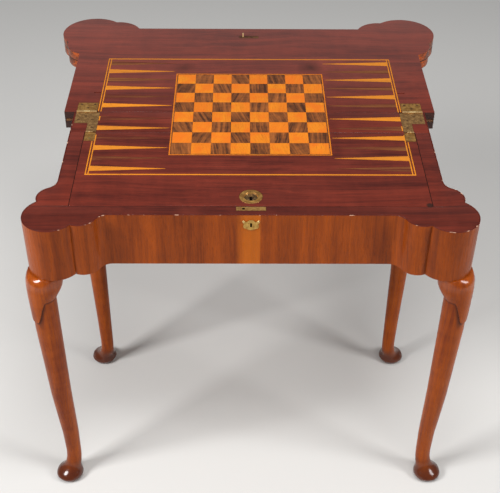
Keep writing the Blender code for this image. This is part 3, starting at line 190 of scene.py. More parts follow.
def axes_of(tree, vector):
    parts = add_node(tree, "ShaderNodeSeparateXYZ", {"Vector": vector}).outputs
    return parts["X"], parts["Y"], parts["Z"]


def noise(tree, place, scale, detail, roughness=0.5):
    return add_node(tree, "ShaderNodeTexNoise", {"Vector": place, "Scale": scale,
                                                 "Detail": detail, "Roughness": roughness}).outputs


def start_group(name, inputs):
    """A shader group with its named inputs, and the sockets that they come in by."""
    tree = bpy.data.node_groups.new(name, "ShaderNodeTree")
    for kind, label in inputs:
        tree.interface.new_socket(name=label, in_out="INPUT", socket_type="NodeSocket" + kind)
    for kind, label in (("Color", "Colour"), ("Float", "Roughness"), ("Float", "Height")):
        tree.interface.new_socket(name=label, in_out="OUTPUT", socket_type="NodeSocket" + kind)
    return tree, tree.nodes.new("NodeGroupInput").outputs


def end_group(tree, colour, rough, height):
    ending = tree.nodes.new("NodeGroupOutput")
    for label, socket in (("Colour", colour), ("Roughness", rough), ("Height", height)):
        tree.links.new(socket, ending.inputs[label])
    return tree


def timber_group():
    """Sawn and polished wood with its grain along X: growth streaks, fibres, pores, a broad drift
    of colour and a crossing figure, for any timber."""
    tree, source = start_group("timber_grain", (
        ("Vector", "Along Grain"), ("Color", "Pale Wood"), ("Color", "Dark Wood"),
        ("Float", "Streak"), ("Float", "Figure"), ("Float", "Gloss Low"), ("Float", "Gloss High")))
    wander = noise(tree, source["Along Grain"], 2.2, 2.0)["Color"]
    bent = vectors(tree, "ADD", source["Along Grain"],
                   vectors(tree, "MULTIPLY", wander, GRAIN_WANDER))
    streak, fibre, drift, figure, pore = (
        noise(tree, vectors(tree, "MULTIPLY", bent, stretch), 1.0, detail, GRAIN_ROUGHNESS)["Fac"]
        for stretch, detail in (STREAK_LAYER, FIBRE_LAYER, DRIFT_LAYER, FIGURE_LAYER, PORE_LAYER))
    rings = spread(tree, streak, 0.32, 0.68)
    hair = spread(tree, fibre, 0.30, 0.70)
    grain = calculated(tree, "ADD", product(tree, rings, 0.6), product(tree, hair, 0.4))
    shaded = product(tree, grain, source["Streak"])
    crossing = product(tree, spread(tree, figure, 0.35, 0.65), source["Figure"])
    depth = calculated(tree, "ADD", calculated(tree, "ADD", shaded, crossing),
                       spread(tree, drift, 0.3, 0.7, -0.12, 0.22))
    colour = blended(tree, add_node(tree, "ShaderNodeClamp", {"Value": depth}).outputs[0],
                     source["Pale Wood"], source["Dark Wood"])
    specks = spread(tree, pore, 0.56, 0.70, 0.0, 0.45)
    colour = blended(tree, specks, colour, PORE_COLOUR)
    dullness = calculated(tree, "ADD", product(tree, hair, 0.5), product(tree, drift, 0.5))
    rough = spread(tree, dullness, 0.25, 0.75, source["Gloss Low"], source["Gloss High"])
    height = calculated(tree, "SUBTRACT", product(tree, hair, 0.3), specks)
    return end_group(tree, colour, rough, height)


TIMBER = timber_group()


def grain_place(tree, turn=ALONG, offset=(0, 0, 0)):
    """Object coordinates turned so that the grain runs along X."""
    place = tree.nodes.new("ShaderNodeTexCoord").outputs["Object"]
    return add_node(tree, "ShaderNodeMapping", {"Vector": place, "Rotation": turn,
                                                "Location": offset}).outputs[0]


def new_finish(name, specular=0.5, coat=0.0, coat_rough=0.1, metal=0.0):
    material = bpy.data.materials.new(name)
    material.use_nodes = True
    shader = material.node_tree.nodes["Principled BSDF"]
    shader.inputs["Specular IOR Level"].default_value = specular
    shader.inputs["Coat Weight"].default_value = coat
    shader.inputs["Coat Roughness"].default_value = coat_rough
    shader.inputs["Metallic"].default_value = metal
    return material, material.node_tree, shader


def connect_finish(tree, shader, colour, rough, height, relief, distance=0.001):
    """Link a finish to its shader, with its height as a bump of the given relief."""
    tree.links.new(colour, shader.inputs["Base Color"])
    tree.links.new(rough, shader.inputs["Roughness"])
    bump = add_node(tree, "ShaderNodeBump", {"Height": height, "Strength": relief,
                                             "Distance": distance})
    tree.links.new(bump.outputs["Normal"], shader.inputs["Normal"])


def timber(tree, place, pale, dark, streak, figure, gloss):
    """The colour, roughness and height of a timber."""
    wood = add_node(tree, "ShaderNodeGroup", {
        "Along Grain": place, "Pale Wood": pale, "Dark Wood": dark, "Streak": streak,
        "Figure": figure, "Gloss Low": gloss[0], "Gloss High": gloss[1]}, node_tree=TIMBER).outputs
    return wood["Colour"], wood["Roughness"], wood["Height"]


def timber_finish(name, turn, pale, dark, streak, figure, gloss, relief, specular):
    material, tree, shader = new_finish(name, specular)
    wood = timber(tree, grain_place(tree, turn), pale, dark, streak, figure, gloss)
    connect_finish(tree, shader, *wood, relief)
    return material


def dress(names, material):
    """Give solids of the frame their finish."""
    for name in names:
        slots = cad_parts[name].data.materials
        slots.clear()
        slots.append(material)


dress(("front_rail", "back_rail", "ear_block_left", "ear_block_right", "knuckle_block",
       "well_floor", "floor_bearer_front", "floor_bearer_back"),
      timber_finish("bare_pine", ALONG, PINE_PALE, PINE_DARK, streak=0.7, figure=0.05,
                    gloss=PINE_GLOSS, relief=0.35, specular=0.25))
dress(("side_rail_left", "side_rail_right", "lid_ledge_left", "lid_ledge_right"),
      timber_finish("side_pine", ACROSS, SIDE_PINE_PALE, SIDE_PINE_DARK, streak=0.7, figure=0.05,
                    gloss=PINE_GLOSS, relief=0.35, specular=0.25))

# Frieze facing: veneers of figured mahogany with upright grain, glued round the lobes and ears and
# along the front, where two leaves meet beside the lock in a band with a painted highlight. Painted
# glints stand as pale spots along the top edge, most of them at the right front ear.
FRIEZE_PALE = (0.41, 0.076, 0.003, 1)
FRIEZE_DARK = (0.135, 0.021, 0.002, 1)
UPRIGHT = (0, math.radians(90), 0)
BAND_LEFT = (-0.029, -0.011)
BAND_RIGHT = (0.0180, 0.0160)
BAND_HIGHLIGHT_SHARE = 0.48
BAND_HIGHLIGHT_COLOUR = (0.66, 0.165, 0.006, 1)
TOP_EDGE_COLOUR = (0.09, 0.012, 0.008, 1)
GLINT_COLOUR = (0.60, 0.36, 0.25, 1)
GLINT_SCALE = 105.0
GLINT_LEVELS = (0.655, 0.69)
RIGHT_EAR_X = (0.26, 0.31)
RIGHT_EAR_Y = (-0.338, -0.346)
RIGHT_EAR_GLINTS = 0.075
KEYHOLE_Z = 0.6695
KEYHOLE_REACH = (0.0095, 0.0075)
KEYHOLE_SHADE_COLOUR = (0.010, 0.006, 0.004, 1)

frieze_finish, tree, shader = new_finish("frieze_mahogany", specular=0.15, coat=0.05)
colour, rough, height = timber(tree, grain_place(tree, UPRIGHT), FRIEZE_PALE, FRIEZE_DARK,
                               streak=0.85, figure=0.08, gloss=(0.22, 0.40))
source = tree.nodes.new("ShaderNodeTexCoord").outputs
across, along, up = axes_of(tree, source["Object"])
# Painted highlight: a paler band on the front veneer beside the lock.
painted_band_highlight = product(tree, spread(tree, across, *BAND_LEFT), spread(tree, across, *BAND_RIGHT),
               BAND_HIGHLIGHT_SHARE)
colour = blended(tree, painted_band_highlight, colour, BAND_HIGHLIGHT_COLOUR)
top_edge = spread(tree, axes_of(tree, source["Normal"])[2], 0.5, 0.8)
colour = blended(tree, top_edge, colour, TOP_EDGE_COLOUR)
# Painted glints: pale spots on the veneer's top edge, denser at the right front ear.
right_ear = product(tree, spread(tree, across, *RIGHT_EAR_X, 0.0, RIGHT_EAR_GLINTS),
                    spread(tree, along, *RIGHT_EAR_Y))
glint_spread = calculated(tree, "ADD", noise(tree, source["Object"], GLINT_SCALE, 1.0)["Fac"],
                      right_ear)
painted_glints = product(tree, spread(tree, glint_spread, *GLINT_LEVELS), top_edge)
colour = blended(tree, painted_glints, colour, GLINT_COLOUR)
# Painted shade: near black on the veneer round the keyhole, showing through the plate's opening.
from_keyhole = calculated(tree, "ADD", calculated(tree, "ABSOLUTE", across),
                          distance_from(tree, up, KEYHOLE_Z))
colour = blended(tree, spread(tree, from_keyhole, *KEYHOLE_REACH), colour, KEYHOLE_SHADE_COLOUR)
connect_finish(tree, shader, colour, rough, height, relief=0.12)
dress(("frieze_veneer_front", "frieze_veneer_left", "frieze_veneer_right", "ear_veneer_left",
       "ear_veneer_right"), frieze_finish)

# Legs and gates: club legs turned and carved from solid mahogany, polished brighter than the top.
# The rear pair swing on gate rails, which have wooden knuckle joints. The front pair have knees
# carved round in both directions, with a pointed lappet below that is undercut, with painted shade
# in the hollow.
LEG_PALE = (0.45, 0.090, 0.004, 1)
LEG_DARK = (0.135, 0.017, 0.002, 1)
DARK_FOOT_AND_SHADE = (0.060, 0.012, 0.005, 1)
FOOT_DARKENING_Z = (0.055, 0.022)
LEG_COAT = 0.26
RUBBED_COAT = 0.85
RUBBED_FOOT_Z = (0.045, 0.030)
RUBBED_KNEE_Z = (0.550, 0.562)
LEG_AXIS = (0.388, -0.3854)
LAPPET_TIP_ANGLE = math.radians(16)
LAPPET_SIDE_ANGLE = math.radians(64)
LAPPET_TIP_Z = 0.470
LAPPET_SIDE_Z = 0.523
UNDERCUT_DEPTH = (0.005, 0.034)


def undercut_painted_shade(tree, across, along, up):
    """Painted shade in the hollow right below the lappet, deepest halfway up each of its sides."""
    outward = calculated(tree, "SUBTRACT", calculated(tree, "ABSOLUTE", across), LEG_AXIS[0])
    forward = calculated(tree, "SUBTRACT", LEG_AXIS[1], along)
    turn = distance_from(tree, calculated(tree, "ARCTAN2", forward, outward), math.radians(45))
    climb = spread(tree, turn, LAPPET_TIP_ANGLE, LAPPET_SIDE_ANGLE)
    edge = add_node(tree, "ShaderNodeMapRange",
                    {"Value": climb, "To Min": LAPPET_TIP_Z, "To Max": LAPPET_SIDE_Z},
                    interpolation_type="SMOOTHSTEP").outputs["Result"]
    below = calculated(tree, "SUBTRACT", edge, up)
    steep = product(tree, climb, calculated(tree, "SUBTRACT", 1.0, climb))
    depth = spread(tree, steep, 0.0, 0.25, *UNDERCUT_DEPTH)
    return product(tree, spread(tree, below, depth, 0.001, 0.0, 0.85),
                   spread(tree, below, -0.0022, -0.0012))


def leg_finish(name, lappet):
    """Polished mahogany with a darker foot, rubbed bright on the foot and the crown of the knee."""
    material, tree, shader = new_finish(name, specular=0.04, coat_rough=0.15)
    colour, rough, height = timber(tree, grain_place(tree, UPRIGHT), LEG_PALE, LEG_DARK,
                                   streak=0.80, figure=0.16, gloss=(0.20, 0.36))
    across, along, up = axes_of(tree, tree.nodes.new("ShaderNodeTexCoord").outputs["Object"])
    # Darker towards the foot.
    colour = blended(tree, spread(tree, up, *FOOT_DARKENING_Z, 0.0, 0.85), colour, DARK_FOOT_AND_SHADE)
    rubbed = calculated(tree, "MAXIMUM", spread(tree, up, *RUBBED_FOOT_Z),
                        spread(tree, up, *RUBBED_KNEE_Z))
    tree.links.new(spread(tree, rubbed, 0.0, 1.0, LEG_COAT, RUBBED_COAT),
                   shader.inputs["Coat Weight"])
    if lappet:
        # Painted shade in the hollow below the lappet.
        colour = blended(tree, undercut_painted_shade(tree, across, along, up), colour, DARK_FOOT_AND_SHADE)
    connect_finish(tree, shader, colour, rough, height, relief=0.06)
    return material


dress(("gate_rail_left", "gate_rail_right"),
      timber_finish("gate_mahogany", ALONG, LEG_PALE, LEG_DARK, streak=0.65, figure=0.15,
                    gloss=(0.4, 0.6), relief=0.2, specular=0.4))
dress(("front_leg_left", "front_leg_right"), leg_finish("carved_leg_mahogany", True))
dress(("rear_leg_left", "rear_leg_right"), leg_finish("plain_leg_mahogany", False))

# Rear legs: each is fuller on its outer side toward the frieze than the sawn blank, because it was
# rasped by hand to meet the round ear of the box. It is tenoned to its gate and swings with it.
REAR_LEG_FULLNESS = ((0.06, 0.0), (0.18, 0.0022), (0.29, 0.0046), (0.45, 0.0070), (0.5775, 0.0070))
REAR_LEG_INNER = 0.324
REAR_LEG_GIRTH = 0.036
REAR_LEG_HEAD = 0.5745
MERGE_DISTANCE = 0.00002


def merged_copy(node, name):
    """A copy of a solid's mesh, and the same as a bmesh with its loose triangles joined."""
    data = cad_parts[node].data.copy()
    data.name = name
    shape = bmesh.new()
    shape.from_mesh(data)
    bmesh.ops.remove_doubles(shape, verts=shape.verts[:], dist=MERGE_DISTANCE)
    return data, shape


def shaped_piece(name, data, shape, sharp_from):
    """The copy once it is shaped, as a piece with its arrises kept sharp from the given angle."""
    shape.to_mesh(data)
    shape.free()
    if data.attributes.get("custom_normal"):
        data.attributes.remove(data.attributes["custom_normal"])
    data.set_sharp_from_angle(angle=math.radians(sharp_from))
    return new_object(name, data)


def fullness(height):
    for (low, less), (high, more) in zip(REAR_LEG_FULLNESS, REAR_LEG_FULLNESS[1:]):
        if low <= height <= high:
            return less + (more - less) * (height - low) / (high - low)
    return 0.0


for side, node, body in ((-1, "rear_leg_left", "gate_left"), (1, "rear_leg_right", "gate_right")):
    data, rear_leg = merged_copy(node, node + "_rasped")
    for vert in rear_leg.verts:
        reach = (abs(vert.co.x) - REAR_LEG_INNER) / REAR_LEG_GIRTH
        if reach > 0 and vert.co.z < REAR_LEG_HEAD:
            vert.co.x += side * reach * fullness(vert.co.z)
    for face in rear_leg.faces:
        face.smooth = True
    piece = shaped_piece(node + "_rasped", data, rear_leg, 34)
    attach(piece, body)
    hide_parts(node)

# Front legs: the knees are carved round in both directions and scraped smooth above the lappet, so
# that the light falls in one spot on each. Their stiles are glued into the ear blocks.
KNEE_FOOT = 0.5235
KNEE_HEAD = 0.5778
KNEE_SCRAPES = 14

for node in ("front_leg_left", "front_leg_right"):
    data, front_leg = merged_copy(node, node + "_carved")
    swell = [edge for edge in front_leg.edges
             if all(KNEE_FOOT < vert.co.z < KNEE_HEAD + 0.0003 for vert in edge.verts)]
    bmesh.ops.subdivide_edges(front_leg, edges=swell, cuts=2, use_grid_fill=True)
    for _ in range(KNEE_SCRAPES):
        knee = [vert for vert in front_leg.verts
                if KNEE_FOOT + 0.004 < vert.co.z < KNEE_HEAD - 0.0004
                and all(len(edge.link_faces) == 2 for edge in vert.link_edges)]
        bmesh.ops.smooth_vert(front_leg, verts=knee, factor=0.5, use_axis_x=True, use_axis_y=True,
                              use_axis_z=True)
    for face in front_leg.faces:
        face.smooth = True
    piece = shaped_piece(node + "_carved", data, front_leg, 40)
    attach(piece, "base")
    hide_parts(node)

# Top boards: solid mahogany with its grain from left to right, stained dark red under old wax. The
# leaves' own edges were never stained as dark and show brighter, figured wood at the ears.
TOP_PALE = (0.225, 0.032, 0.016, 1)
TOP_DARK = (0.062, 0.008, 0.005, 1)
RIM_PALE = (0.165, 0.024, 0.012, 1)
RIM_DARK = (0.045, 0.006, 0.004, 1)
EDGE_PALE = (0.62, 0.105, 0.003, 1)
EDGE_DARK = (0.040, 0.009, 0.004, 1)
DIRT_AND_SHADE = (0.022, 0.010, 0.007, 1)
WORN_RED = (0.25, 0.045, 0.024, 1)
PAINTED_SHEEN = (0.95, 0.46, 0.40, 1)
SHEEN_Y = (-0.05, 0.42)
SHEEN_SHARE = 0.085
JOINT_Y = -0.3313
JOINT_X = 0.3308
JOINT_HALF = 0.0009
LID_BACK_Y = -0.083
STAIN_PLACES = ((-0.1455, 0.183), (0.135, 0.181))
STAIN_REACH = 0.032
KEY_WELL_PLACE = (0.0, -0.3011)
KEY_WELL_REACH = 0.020
CHIPPED_CORNER = (0.3255, -0.3270)
CHIPPED_REACH = 0.0085
EDGE_FROM_X = 0.345
EDGE_FROM_Y = 0.30
LEAF_FROM_Y = 0.01
FOLD_END_Y = -0.0056
SEAM_Z = 0.67135


def joint_mask(tree, across, along):
    """The dark lines behind the front rim board and along both sides of the lid."""
    from_front = distance_from(tree, along, JOINT_Y)
    from_side = distance_from(tree, calculated(tree, "ABSOLUTE", across), JOINT_X)
    behind = calculated(tree, "GREATER_THAN", along, LID_BACK_Y)
    before = calculated(tree, "LESS_THAN", along, JOINT_Y)
    from_side = calculated(tree, "ADD", calculated(tree, "ADD", from_side, behind), before)
    nearest = calculated(tree, "MINIMUM", from_front, from_side)
    return spread(tree, nearest, JOINT_HALF, JOINT_HALF * 0.5, 0.0, 0.9)


def spot(tree, across, along, place, reach):
    """A mask that is 1 at a place and fades to 0 at its reach."""
    apart = add_node(tree, "ShaderNodeCombineXYZ", {
        "X": calculated(tree, "SUBTRACT", across, place[0]),
        "Y": calculated(tree, "SUBTRACT", along, place[1])}).outputs[0]
    distance = add_node(tree, "ShaderNodeVectorMath", {0: apart},
                        operation="LENGTH").outputs["Value"]
    return spread(tree, distance, 0.0, reach, 1.0, 0.0)


def stain_and_shade_mask(tree, across, along, cloud):
    """Old spills behind the chessboard, painted shade under the keyhole plate, and a chipped
    corner.
    """
    spills_and_shade = 0.0
    for place in STAIN_PLACES:
        spills_and_shade = calculated(tree, "MAXIMUM", spills_and_shade, spot(tree, across, along, place, STAIN_REACH))
    spills_and_shade = product(tree, spills_and_shade, spread(tree, cloud, 0.35, 0.60, 0.1, 0.75))
    # Painted shade: the lid under the keyhole plate is painted near black where it shows through
    # the hole.
    key_well_shade = spot(tree, across, along, KEY_WELL_PLACE, KEY_WELL_REACH)
    spills_and_shade = calculated(tree, "MAXIMUM", spills_and_shade, spread(tree, key_well_shade, 0.15, 0.30))
    chipped = spot(tree, across, along, CHIPPED_CORNER, CHIPPED_REACH)
    return calculated(tree, "MAXIMUM", spills_and_shade, spread(tree, chipped, 0.10, 0.45, 0.0, 0.9))


def leaf_edge(tree, place, own, colour):
    """A leaf's bright outer edge, its dark fold end, and the dark seam between the leaves."""
    across, along, up = axes_of(tree, own["Object"])
    edge_place = add_node(tree, "ShaderNodeMapping", {
        "Vector": place, "Rotation": (0, 0.6, 0.2), "Scale": (1, 1.7, 2.4)}).outputs[0]
    bright = timber(tree, edge_place, EDGE_PALE, EDGE_DARK, streak=1.25, figure=0.0,
                    gloss=(0.3, 0.5))[0]
    lift = calculated(tree, "ABSOLUTE", axes_of(tree, own["Normal"])[2])
    side = spread(tree, lift, 0.75, 0.45)
    outer = calculated(tree, "MAXIMUM",
                       calculated(tree, "GREATER_THAN", calculated(tree, "ABSOLUTE", across),
                                  EDGE_FROM_X),
                       calculated(tree, "GREATER_THAN", along, EDGE_FROM_Y))
    behind = calculated(tree, "GREATER_THAN", along, LEAF_FROM_Y)
    fold_end = product(tree, side, calculated(tree, "LESS_THAN", along, FOLD_END_Y), 0.8)
    colour = blended(tree, product(tree, side, outer, behind), colour, bright)
    colour = blended(tree, fold_end, colour, DIRT_AND_SHADE)
    seam = spread(tree, distance_from(tree, up, SEAM_Z), 0.0022, 0.0006, 0.0, 0.85)
    return blended(tree, seam, colour, DIRT_AND_SHADE)


def top_board_finish(name, is_leaf=False, offset=(0, 0, 0), pale=TOP_PALE, dark=TOP_DARK):
    """Stained mahogany, worn redder in patches, with its joints and spills, painted shade under the
    keyhole plate, and a painted sheen toward the back.
    """
    material, tree, shader = new_finish(name, specular=0.32, coat=0.06, coat_rough=0.2)
    place = grain_place(tree, offset=offset)
    colour, rough, height = timber(tree, place, pale, dark, streak=0.95, figure=0.14,
                                   gloss=(0.26, 0.42))
    own = tree.nodes.new("ShaderNodeTexCoord").outputs
    across, along, _ = axes_of(tree, own["Object"])
    cloud = noise(tree, own["Object"], 9.0, 3.0)["Fac"]
    colour = blended(tree, spread(tree, cloud, 0.58, 0.78, 0.0, 0.35), colour, WORN_RED)
    colour = blended(tree, joint_mask(tree, across, along), colour, DIRT_AND_SHADE)
    # Painted sheen: paler toward the back of the top.
    colour = blended(tree, spread(tree, along, *SHEEN_Y, 0.0, SHEEN_SHARE), colour, PAINTED_SHEEN)
    colour = blended(tree, stain_and_shade_mask(tree, across, along, cloud), colour, DIRT_AND_SHADE)
    if is_leaf:
        colour = leaf_edge(tree, place, own, colour)
    connect_finish(tree, shader, colour, rough, height, relief=0.10)
    return material


dress(("rim_front",), top_board_finish("front_rim_mahogany", offset=(0.15, 0.7, 0), pale=RIM_PALE,
                                       dark=RIM_DARK))
dress(("back_strip", "well_lid"), top_board_finish("top_mahogany"))
dress(("rim_left", "rim_right"), top_board_finish("side_rim_mahogany", offset=(0.3, 0.4, 0)))
dress(("games_leaf",), top_board_finish("games_leaf_mahogany", True, (0.7, 0.2, 0)))
dress(("tea_leaf",), top_board_finish("tea_leaf_mahogany", True, (1.4, 0.9, 0.3)))

# Softened arrises: each top board's outer edges are eased with a plane and worn by hands, so each
# visual board is the sawn board with its through edges rounded by about a millimetre.
BOARD_EASES = (("rim_front", "base", 0.0005), ("rim_left", "base", 0.0005),
               ("rim_right", "base", 0.0005), ("back_strip", "base", 0.0005),
               ("well_lid", "well_lid", 0.0006), ("games_leaf", "games_leaf", 0.0014),
               ("tea_leaf", "tea_leaf", 0.0014))
FACE_TOLERANCE = 0.0002


def upright(face):
    return abs(face.normal.z) < 0.05


for node, body, ease in BOARD_EASES:
    data, board = merged_copy(node, node + "_eased")
    board.normal_update()
    low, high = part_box(node)
    flats = [edge for edge in board.edges if len(edge.link_faces) == 2
             and edge.calc_face_angle() < 0.01 and all(upright(face) for face in edge.link_faces)]
    bmesh.ops.dissolve_edges(board, edges=flats, use_verts=False)
    through = set()
    for face in board.faces:
        heights = [vert.co.z for vert in face.verts]
        if (upright(face) and min(heights) < low.z + FACE_TOLERANCE
                and max(heights) > high.z - FACE_TOLERANCE):
            through.add(face)
    worn = [edge for edge in board.edges if len(edge.link_faces) == 2
            and any(face in through for face in edge.link_faces)
            and any(abs(face.normal.z) > 0.9 for face in edge.link_faces)]
    bmesh.ops.bevel(board, geom=worn, offset=ease, offset_type="OFFSET", segments=3, profile=0.5,
                    affect="EDGES", clamp_overlap=True, material=-1)
    for face in board.faces:
        face.smooth = abs(face.normal.z) < 0.999
    piece = shaped_piece(node + "_eased", data, board, 34)
    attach(piece, body)
    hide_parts(node)

# Chessboard: squares of boxwood and of streaky walnut, cut with the grain turned this way and that
# and let in flush, inside a dark line and a line of boxwood.
FOLD_Y = -0.0064
SQUARE = 0.0387
HALF_BOARD = 4 * SQUARE
DARK_LINE_OUTER = HALF_BOARD + 0.0022
GRAIN_TURNS = (math.radians(68), math.radians(112))
BOXWOOD_PALE = (0.84, 0.275, 0.012, 1)
BOXWOOD_DARK = (0.58, 0.13, 0.006, 1)
BOXWOOD_CLOUD = (0.72, 0.15, 0.008, 1)
BOXWOOD_REDDER = (0.80, 0.17, 0.010, 1)
WALNUT_PALE = (0.50, 0.150, 0.030, 1)
WALNUT_DARK = (0.060, 0.018, 0.007, 1)
WALNUT_CLOSENESS = (3.1, 3.1, 3.1)
INLAY_GLOSS = (0.28, 0.42)
INLAY_POLISH = {"specular": 0.32, "coat": 0.06, "coat_rough": 0.2}


def fold_axes(tree):
    """Object coordinates measured from the fold line, and their X and Y."""
    place = tree.nodes.new("ShaderNodeTexCoord").outputs["Object"]
    moved = add_node(tree, "ShaderNodeMapping", {"Vector": place,
                                                 "Location": (0, -FOLD_Y, 0)}).outputs[0]
    across, along, _ = axes_of(tree, moved)
    return moved, across, along


def cells(tree, value, step):
    return calculated(tree, "FLOOR", calculated(tree, "DIVIDE", value, step))


chess_finish, tree, shader = new_finish("chess_inlay", **INLAY_POLISH)
place, across, along = fold_axes(tree)
column = cells(tree, across, SQUARE)
row = cells(tree, along, SQUARE)
is_light = calculated(tree, "FLOORED_MODULO", calculated(tree, "ADD", column, row), 2.0)
square = add_node(tree, "ShaderNodeCombineXYZ", {"X": column, "Y": row}).outputs[0]
chance = add_node(tree, "ShaderNodeTexWhiteNoise", {"Vector": square}).outputs
turned = add_node(tree, "ShaderNodeVectorRotate", {
    "Vector": place, "Angle": spread(tree, chance["Value"], 0.0, 1.0, *GRAIN_TURNS)},
    rotation_type="Z_AXIS").outputs[0]
own_cut = vectors(tree, "ADD", turned, chance["Color"])
from_middle = calculated(tree, "MAXIMUM", calculated(tree, "ABSOLUTE", across),
                         calculated(tree, "ABSOLUTE", along))
in_board = calculated(tree, "SUBTRACT", 1.0,
                      calculated(tree, "GREATER_THAN", from_middle, HALF_BOARD))
in_light_line = calculated(tree, "GREATER_THAN", from_middle, DARK_LINE_OUTER)
light = calculated(tree, "MAXIMUM", product(tree, is_light, in_board), in_light_line)
boxwood, rough, height = timber(tree, own_cut, BOXWOOD_PALE, BOXWOOD_DARK, streak=0.6,
                                figure=0.12, gloss=INLAY_GLOSS)
close_place = add_node(tree, "ShaderNodeMapping", {"Vector": own_cut,
                                                   "Scale": WALNUT_CLOSENESS}).outputs[0]
walnut = timber(tree, close_place, WALNUT_PALE, WALNUT_DARK, streak=1.15, figure=0.15,
                gloss=INLAY_GLOSS)[0]
cloud = spread(tree, noise(tree, own_cut, 34.0, 2.0)["Fac"], 0.42, 0.66, 0.0, 0.75)
colour = blended(tree, light, walnut, blended(tree, cloud, boxwood, BOXWOOD_CLOUD))
redder = product(tree, spread(tree, chance["Value"], 0.5, 1.0, 0.0, 0.4), light)
colour = blended(tree, redder, colour, BOXWOOD_REDDER)
connect_finish(tree, shader, colour, rough, height, relief=0.08)
dress(("strip_chequers", "lid_chequers", "leaf_chequers"), chess_finish)

# Backgammon points: long triangles of boxwood and of a greenish brown wood by turns, between double
# lines of boxwood at the sides and one across each far end, all let in flush.
POINT_LEAD = 0.0078
POINT_STEP = 0.0359
LINE_X = 0.3060
LINE_Y = 0.2230
POINT_LIGHT_DARK = (0.46, 0.16, 0.020, 1)
POINT_PALE = (0.36, 0.150, 0.032, 1)
POINT_DARK = (0.105, 0.016, 0.009, 1)
POINT_CLOSENESS = (1, 3.2, 1)

point_finish, tree, shader = new_finish("point_inlay", **INLAY_POLISH)
place, across, along = fold_axes(tree)
far_across = calculated(tree, "ABSOLUTE", across)
far_along = calculated(tree, "ABSOLUTE", along)
number = cells(tree, calculated(tree, "SUBTRACT", far_along, POINT_LEAD), POINT_STEP)
for side_changes in (calculated(tree, "GREATER_THAN", along, 0.0),
                     calculated(tree, "GREATER_THAN", across, 0.0)):
    number = calculated(tree, "ADD", number, side_changes)
in_line = calculated(tree, "MAXIMUM", calculated(tree, "GREATER_THAN", far_across, LINE_X),
                     calculated(tree, "GREATER_THAN", far_along, LINE_Y))
light = calculated(tree, "MAXIMUM", calculated(tree, "FLOORED_MODULO", number, 2.0), in_line)
light_wood, rough, height = timber(tree, place, BOXWOOD_PALE, POINT_LIGHT_DARK, streak=0.7,
                                   figure=0.05, gloss=INLAY_GLOSS)
fine_place = add_node(tree, "ShaderNodeMapping", {"Vector": place,
                                                  "Scale": POINT_CLOSENESS}).outputs[0]
dark_wood = timber(tree, fine_place, POINT_PALE, POINT_DARK, streak=1.55, figure=0.05,
                   gloss=INLAY_GLOSS)[0]
colour = blended(tree, light, dark_wood, light_wood)
connect_finish(tree, shader, colour, rough, height, relief=0.08)
dress(("lid_points", "leaf_points", "strip_point_left_1", "strip_point_left_2",
       "strip_point_right_1", "strip_point_right_2"), point_finish)

# Brass and iron: cast and filed hinges, lock plates and keyhole plates, let in flush and screwed or
# pinned, toned brown by age and darker in patches. The barrels are rubbed bright, with a painted
# highlight on them. The box lock's bolt, the lid lock's case and the gates' pins are of iron.
BARREL_Z = (0.6918, 0.6926)
BARREL_RUBBED_AND_HIGHLIGHT = (1.0, 0.72, 0.34, 1)
LOCK_PLATE_DEEP = 0.6906
DEEP_FADE = 0.0006
DEEP_BLACK = (0.006, 0.004, 0.003, 1)
SCRATCH_STRETCH = (300.0, 2600.0, 900.0)


def metal_group():
    """Old metal: toned patches, grime, fine scratches, and a rubbed brightness with a painted
    highlight where it stands proud.
    """
    tree, source = start_group("aged_metal", (
        ("Vector", "Place"), ("Color", "Rubbed"), ("Color", "Toned"), ("Color", "Dirt"),
        ("Float", "Age"), ("Float", "Shine")))
    patch = noise(tree, source["Place"], 150.0, 4.0)["Fac"]
    grime = noise(tree, source["Place"], 620.0, 3.0)["Fac"]
    scratch = noise(tree, vectors(tree, "MULTIPLY", source["Place"], SCRATCH_STRETCH),
                    1.0, 2.0)["Fac"]
    toned = product(tree, spread(tree, patch, 0.36, 0.62, 0.05, 1.55), source["Age"])
    colour = blended(tree, add_node(tree, "ShaderNodeClamp", {"Value": toned}).outputs[0],
                     source["Rubbed"], source["Toned"])
    dirty = spread(tree, grime, 0.55, 0.72, 0.0, 0.7)
    colour = blended(tree, dirty, colour, source["Dirt"])
    rough = spread(tree, calculated(tree, "ADD", patch, product(tree, dirty, 0.4)),
                   0.35, 0.9, 0.26, 0.6)
    # Rubbed brass with a painted highlight on the proud barrels.
    rubbed_and_highlight = product(tree, spread(tree, axes_of(tree, source["Place"])[2], *BARREL_Z),
                    source["Shine"])
    colour = blended(tree, product(tree, rubbed_and_highlight, 0.85), colour, BARREL_RUBBED_AND_HIGHLIGHT)
    rough = product(tree, rough, spread(tree, rubbed_and_highlight, 0.0, 1.0, 1.0, 0.55))
    height = calculated(tree, "SUBTRACT", product(tree, scratch, 0.4), dirty)
    return end_group(tree, colour, rough, height)


AGED_METAL = metal_group()


def metal_finish(name, rubbed, toned, dirt, age, metal=1.0, dark_below=None, shine=1.0):
    """Aged metal, blackened below the level dark_below where no polish reaches."""
    material, tree, shader = new_finish(name, metal=metal)
    place = tree.nodes.new("ShaderNodeTexCoord").outputs["Object"]
    aged = add_node(tree, "ShaderNodeGroup", {"Place": place, "Rubbed": (*rubbed, 1),
                                              "Toned": (*toned, 1), "Dirt": (*dirt, 1),
                                              "Age": age, "Shine": shine},
                    node_tree=AGED_METAL).outputs
    colour = aged["Colour"]
    if dark_below:
        deep = spread(tree, axes_of(tree, place)[2], dark_below, dark_below - DEEP_FADE)
        colour = blended(tree, deep, colour, DEEP_BLACK)
    connect_finish(tree, shader, colour, aged["Roughness"], aged["Height"], relief=0.15,
                   distance=0.0003)
    return material


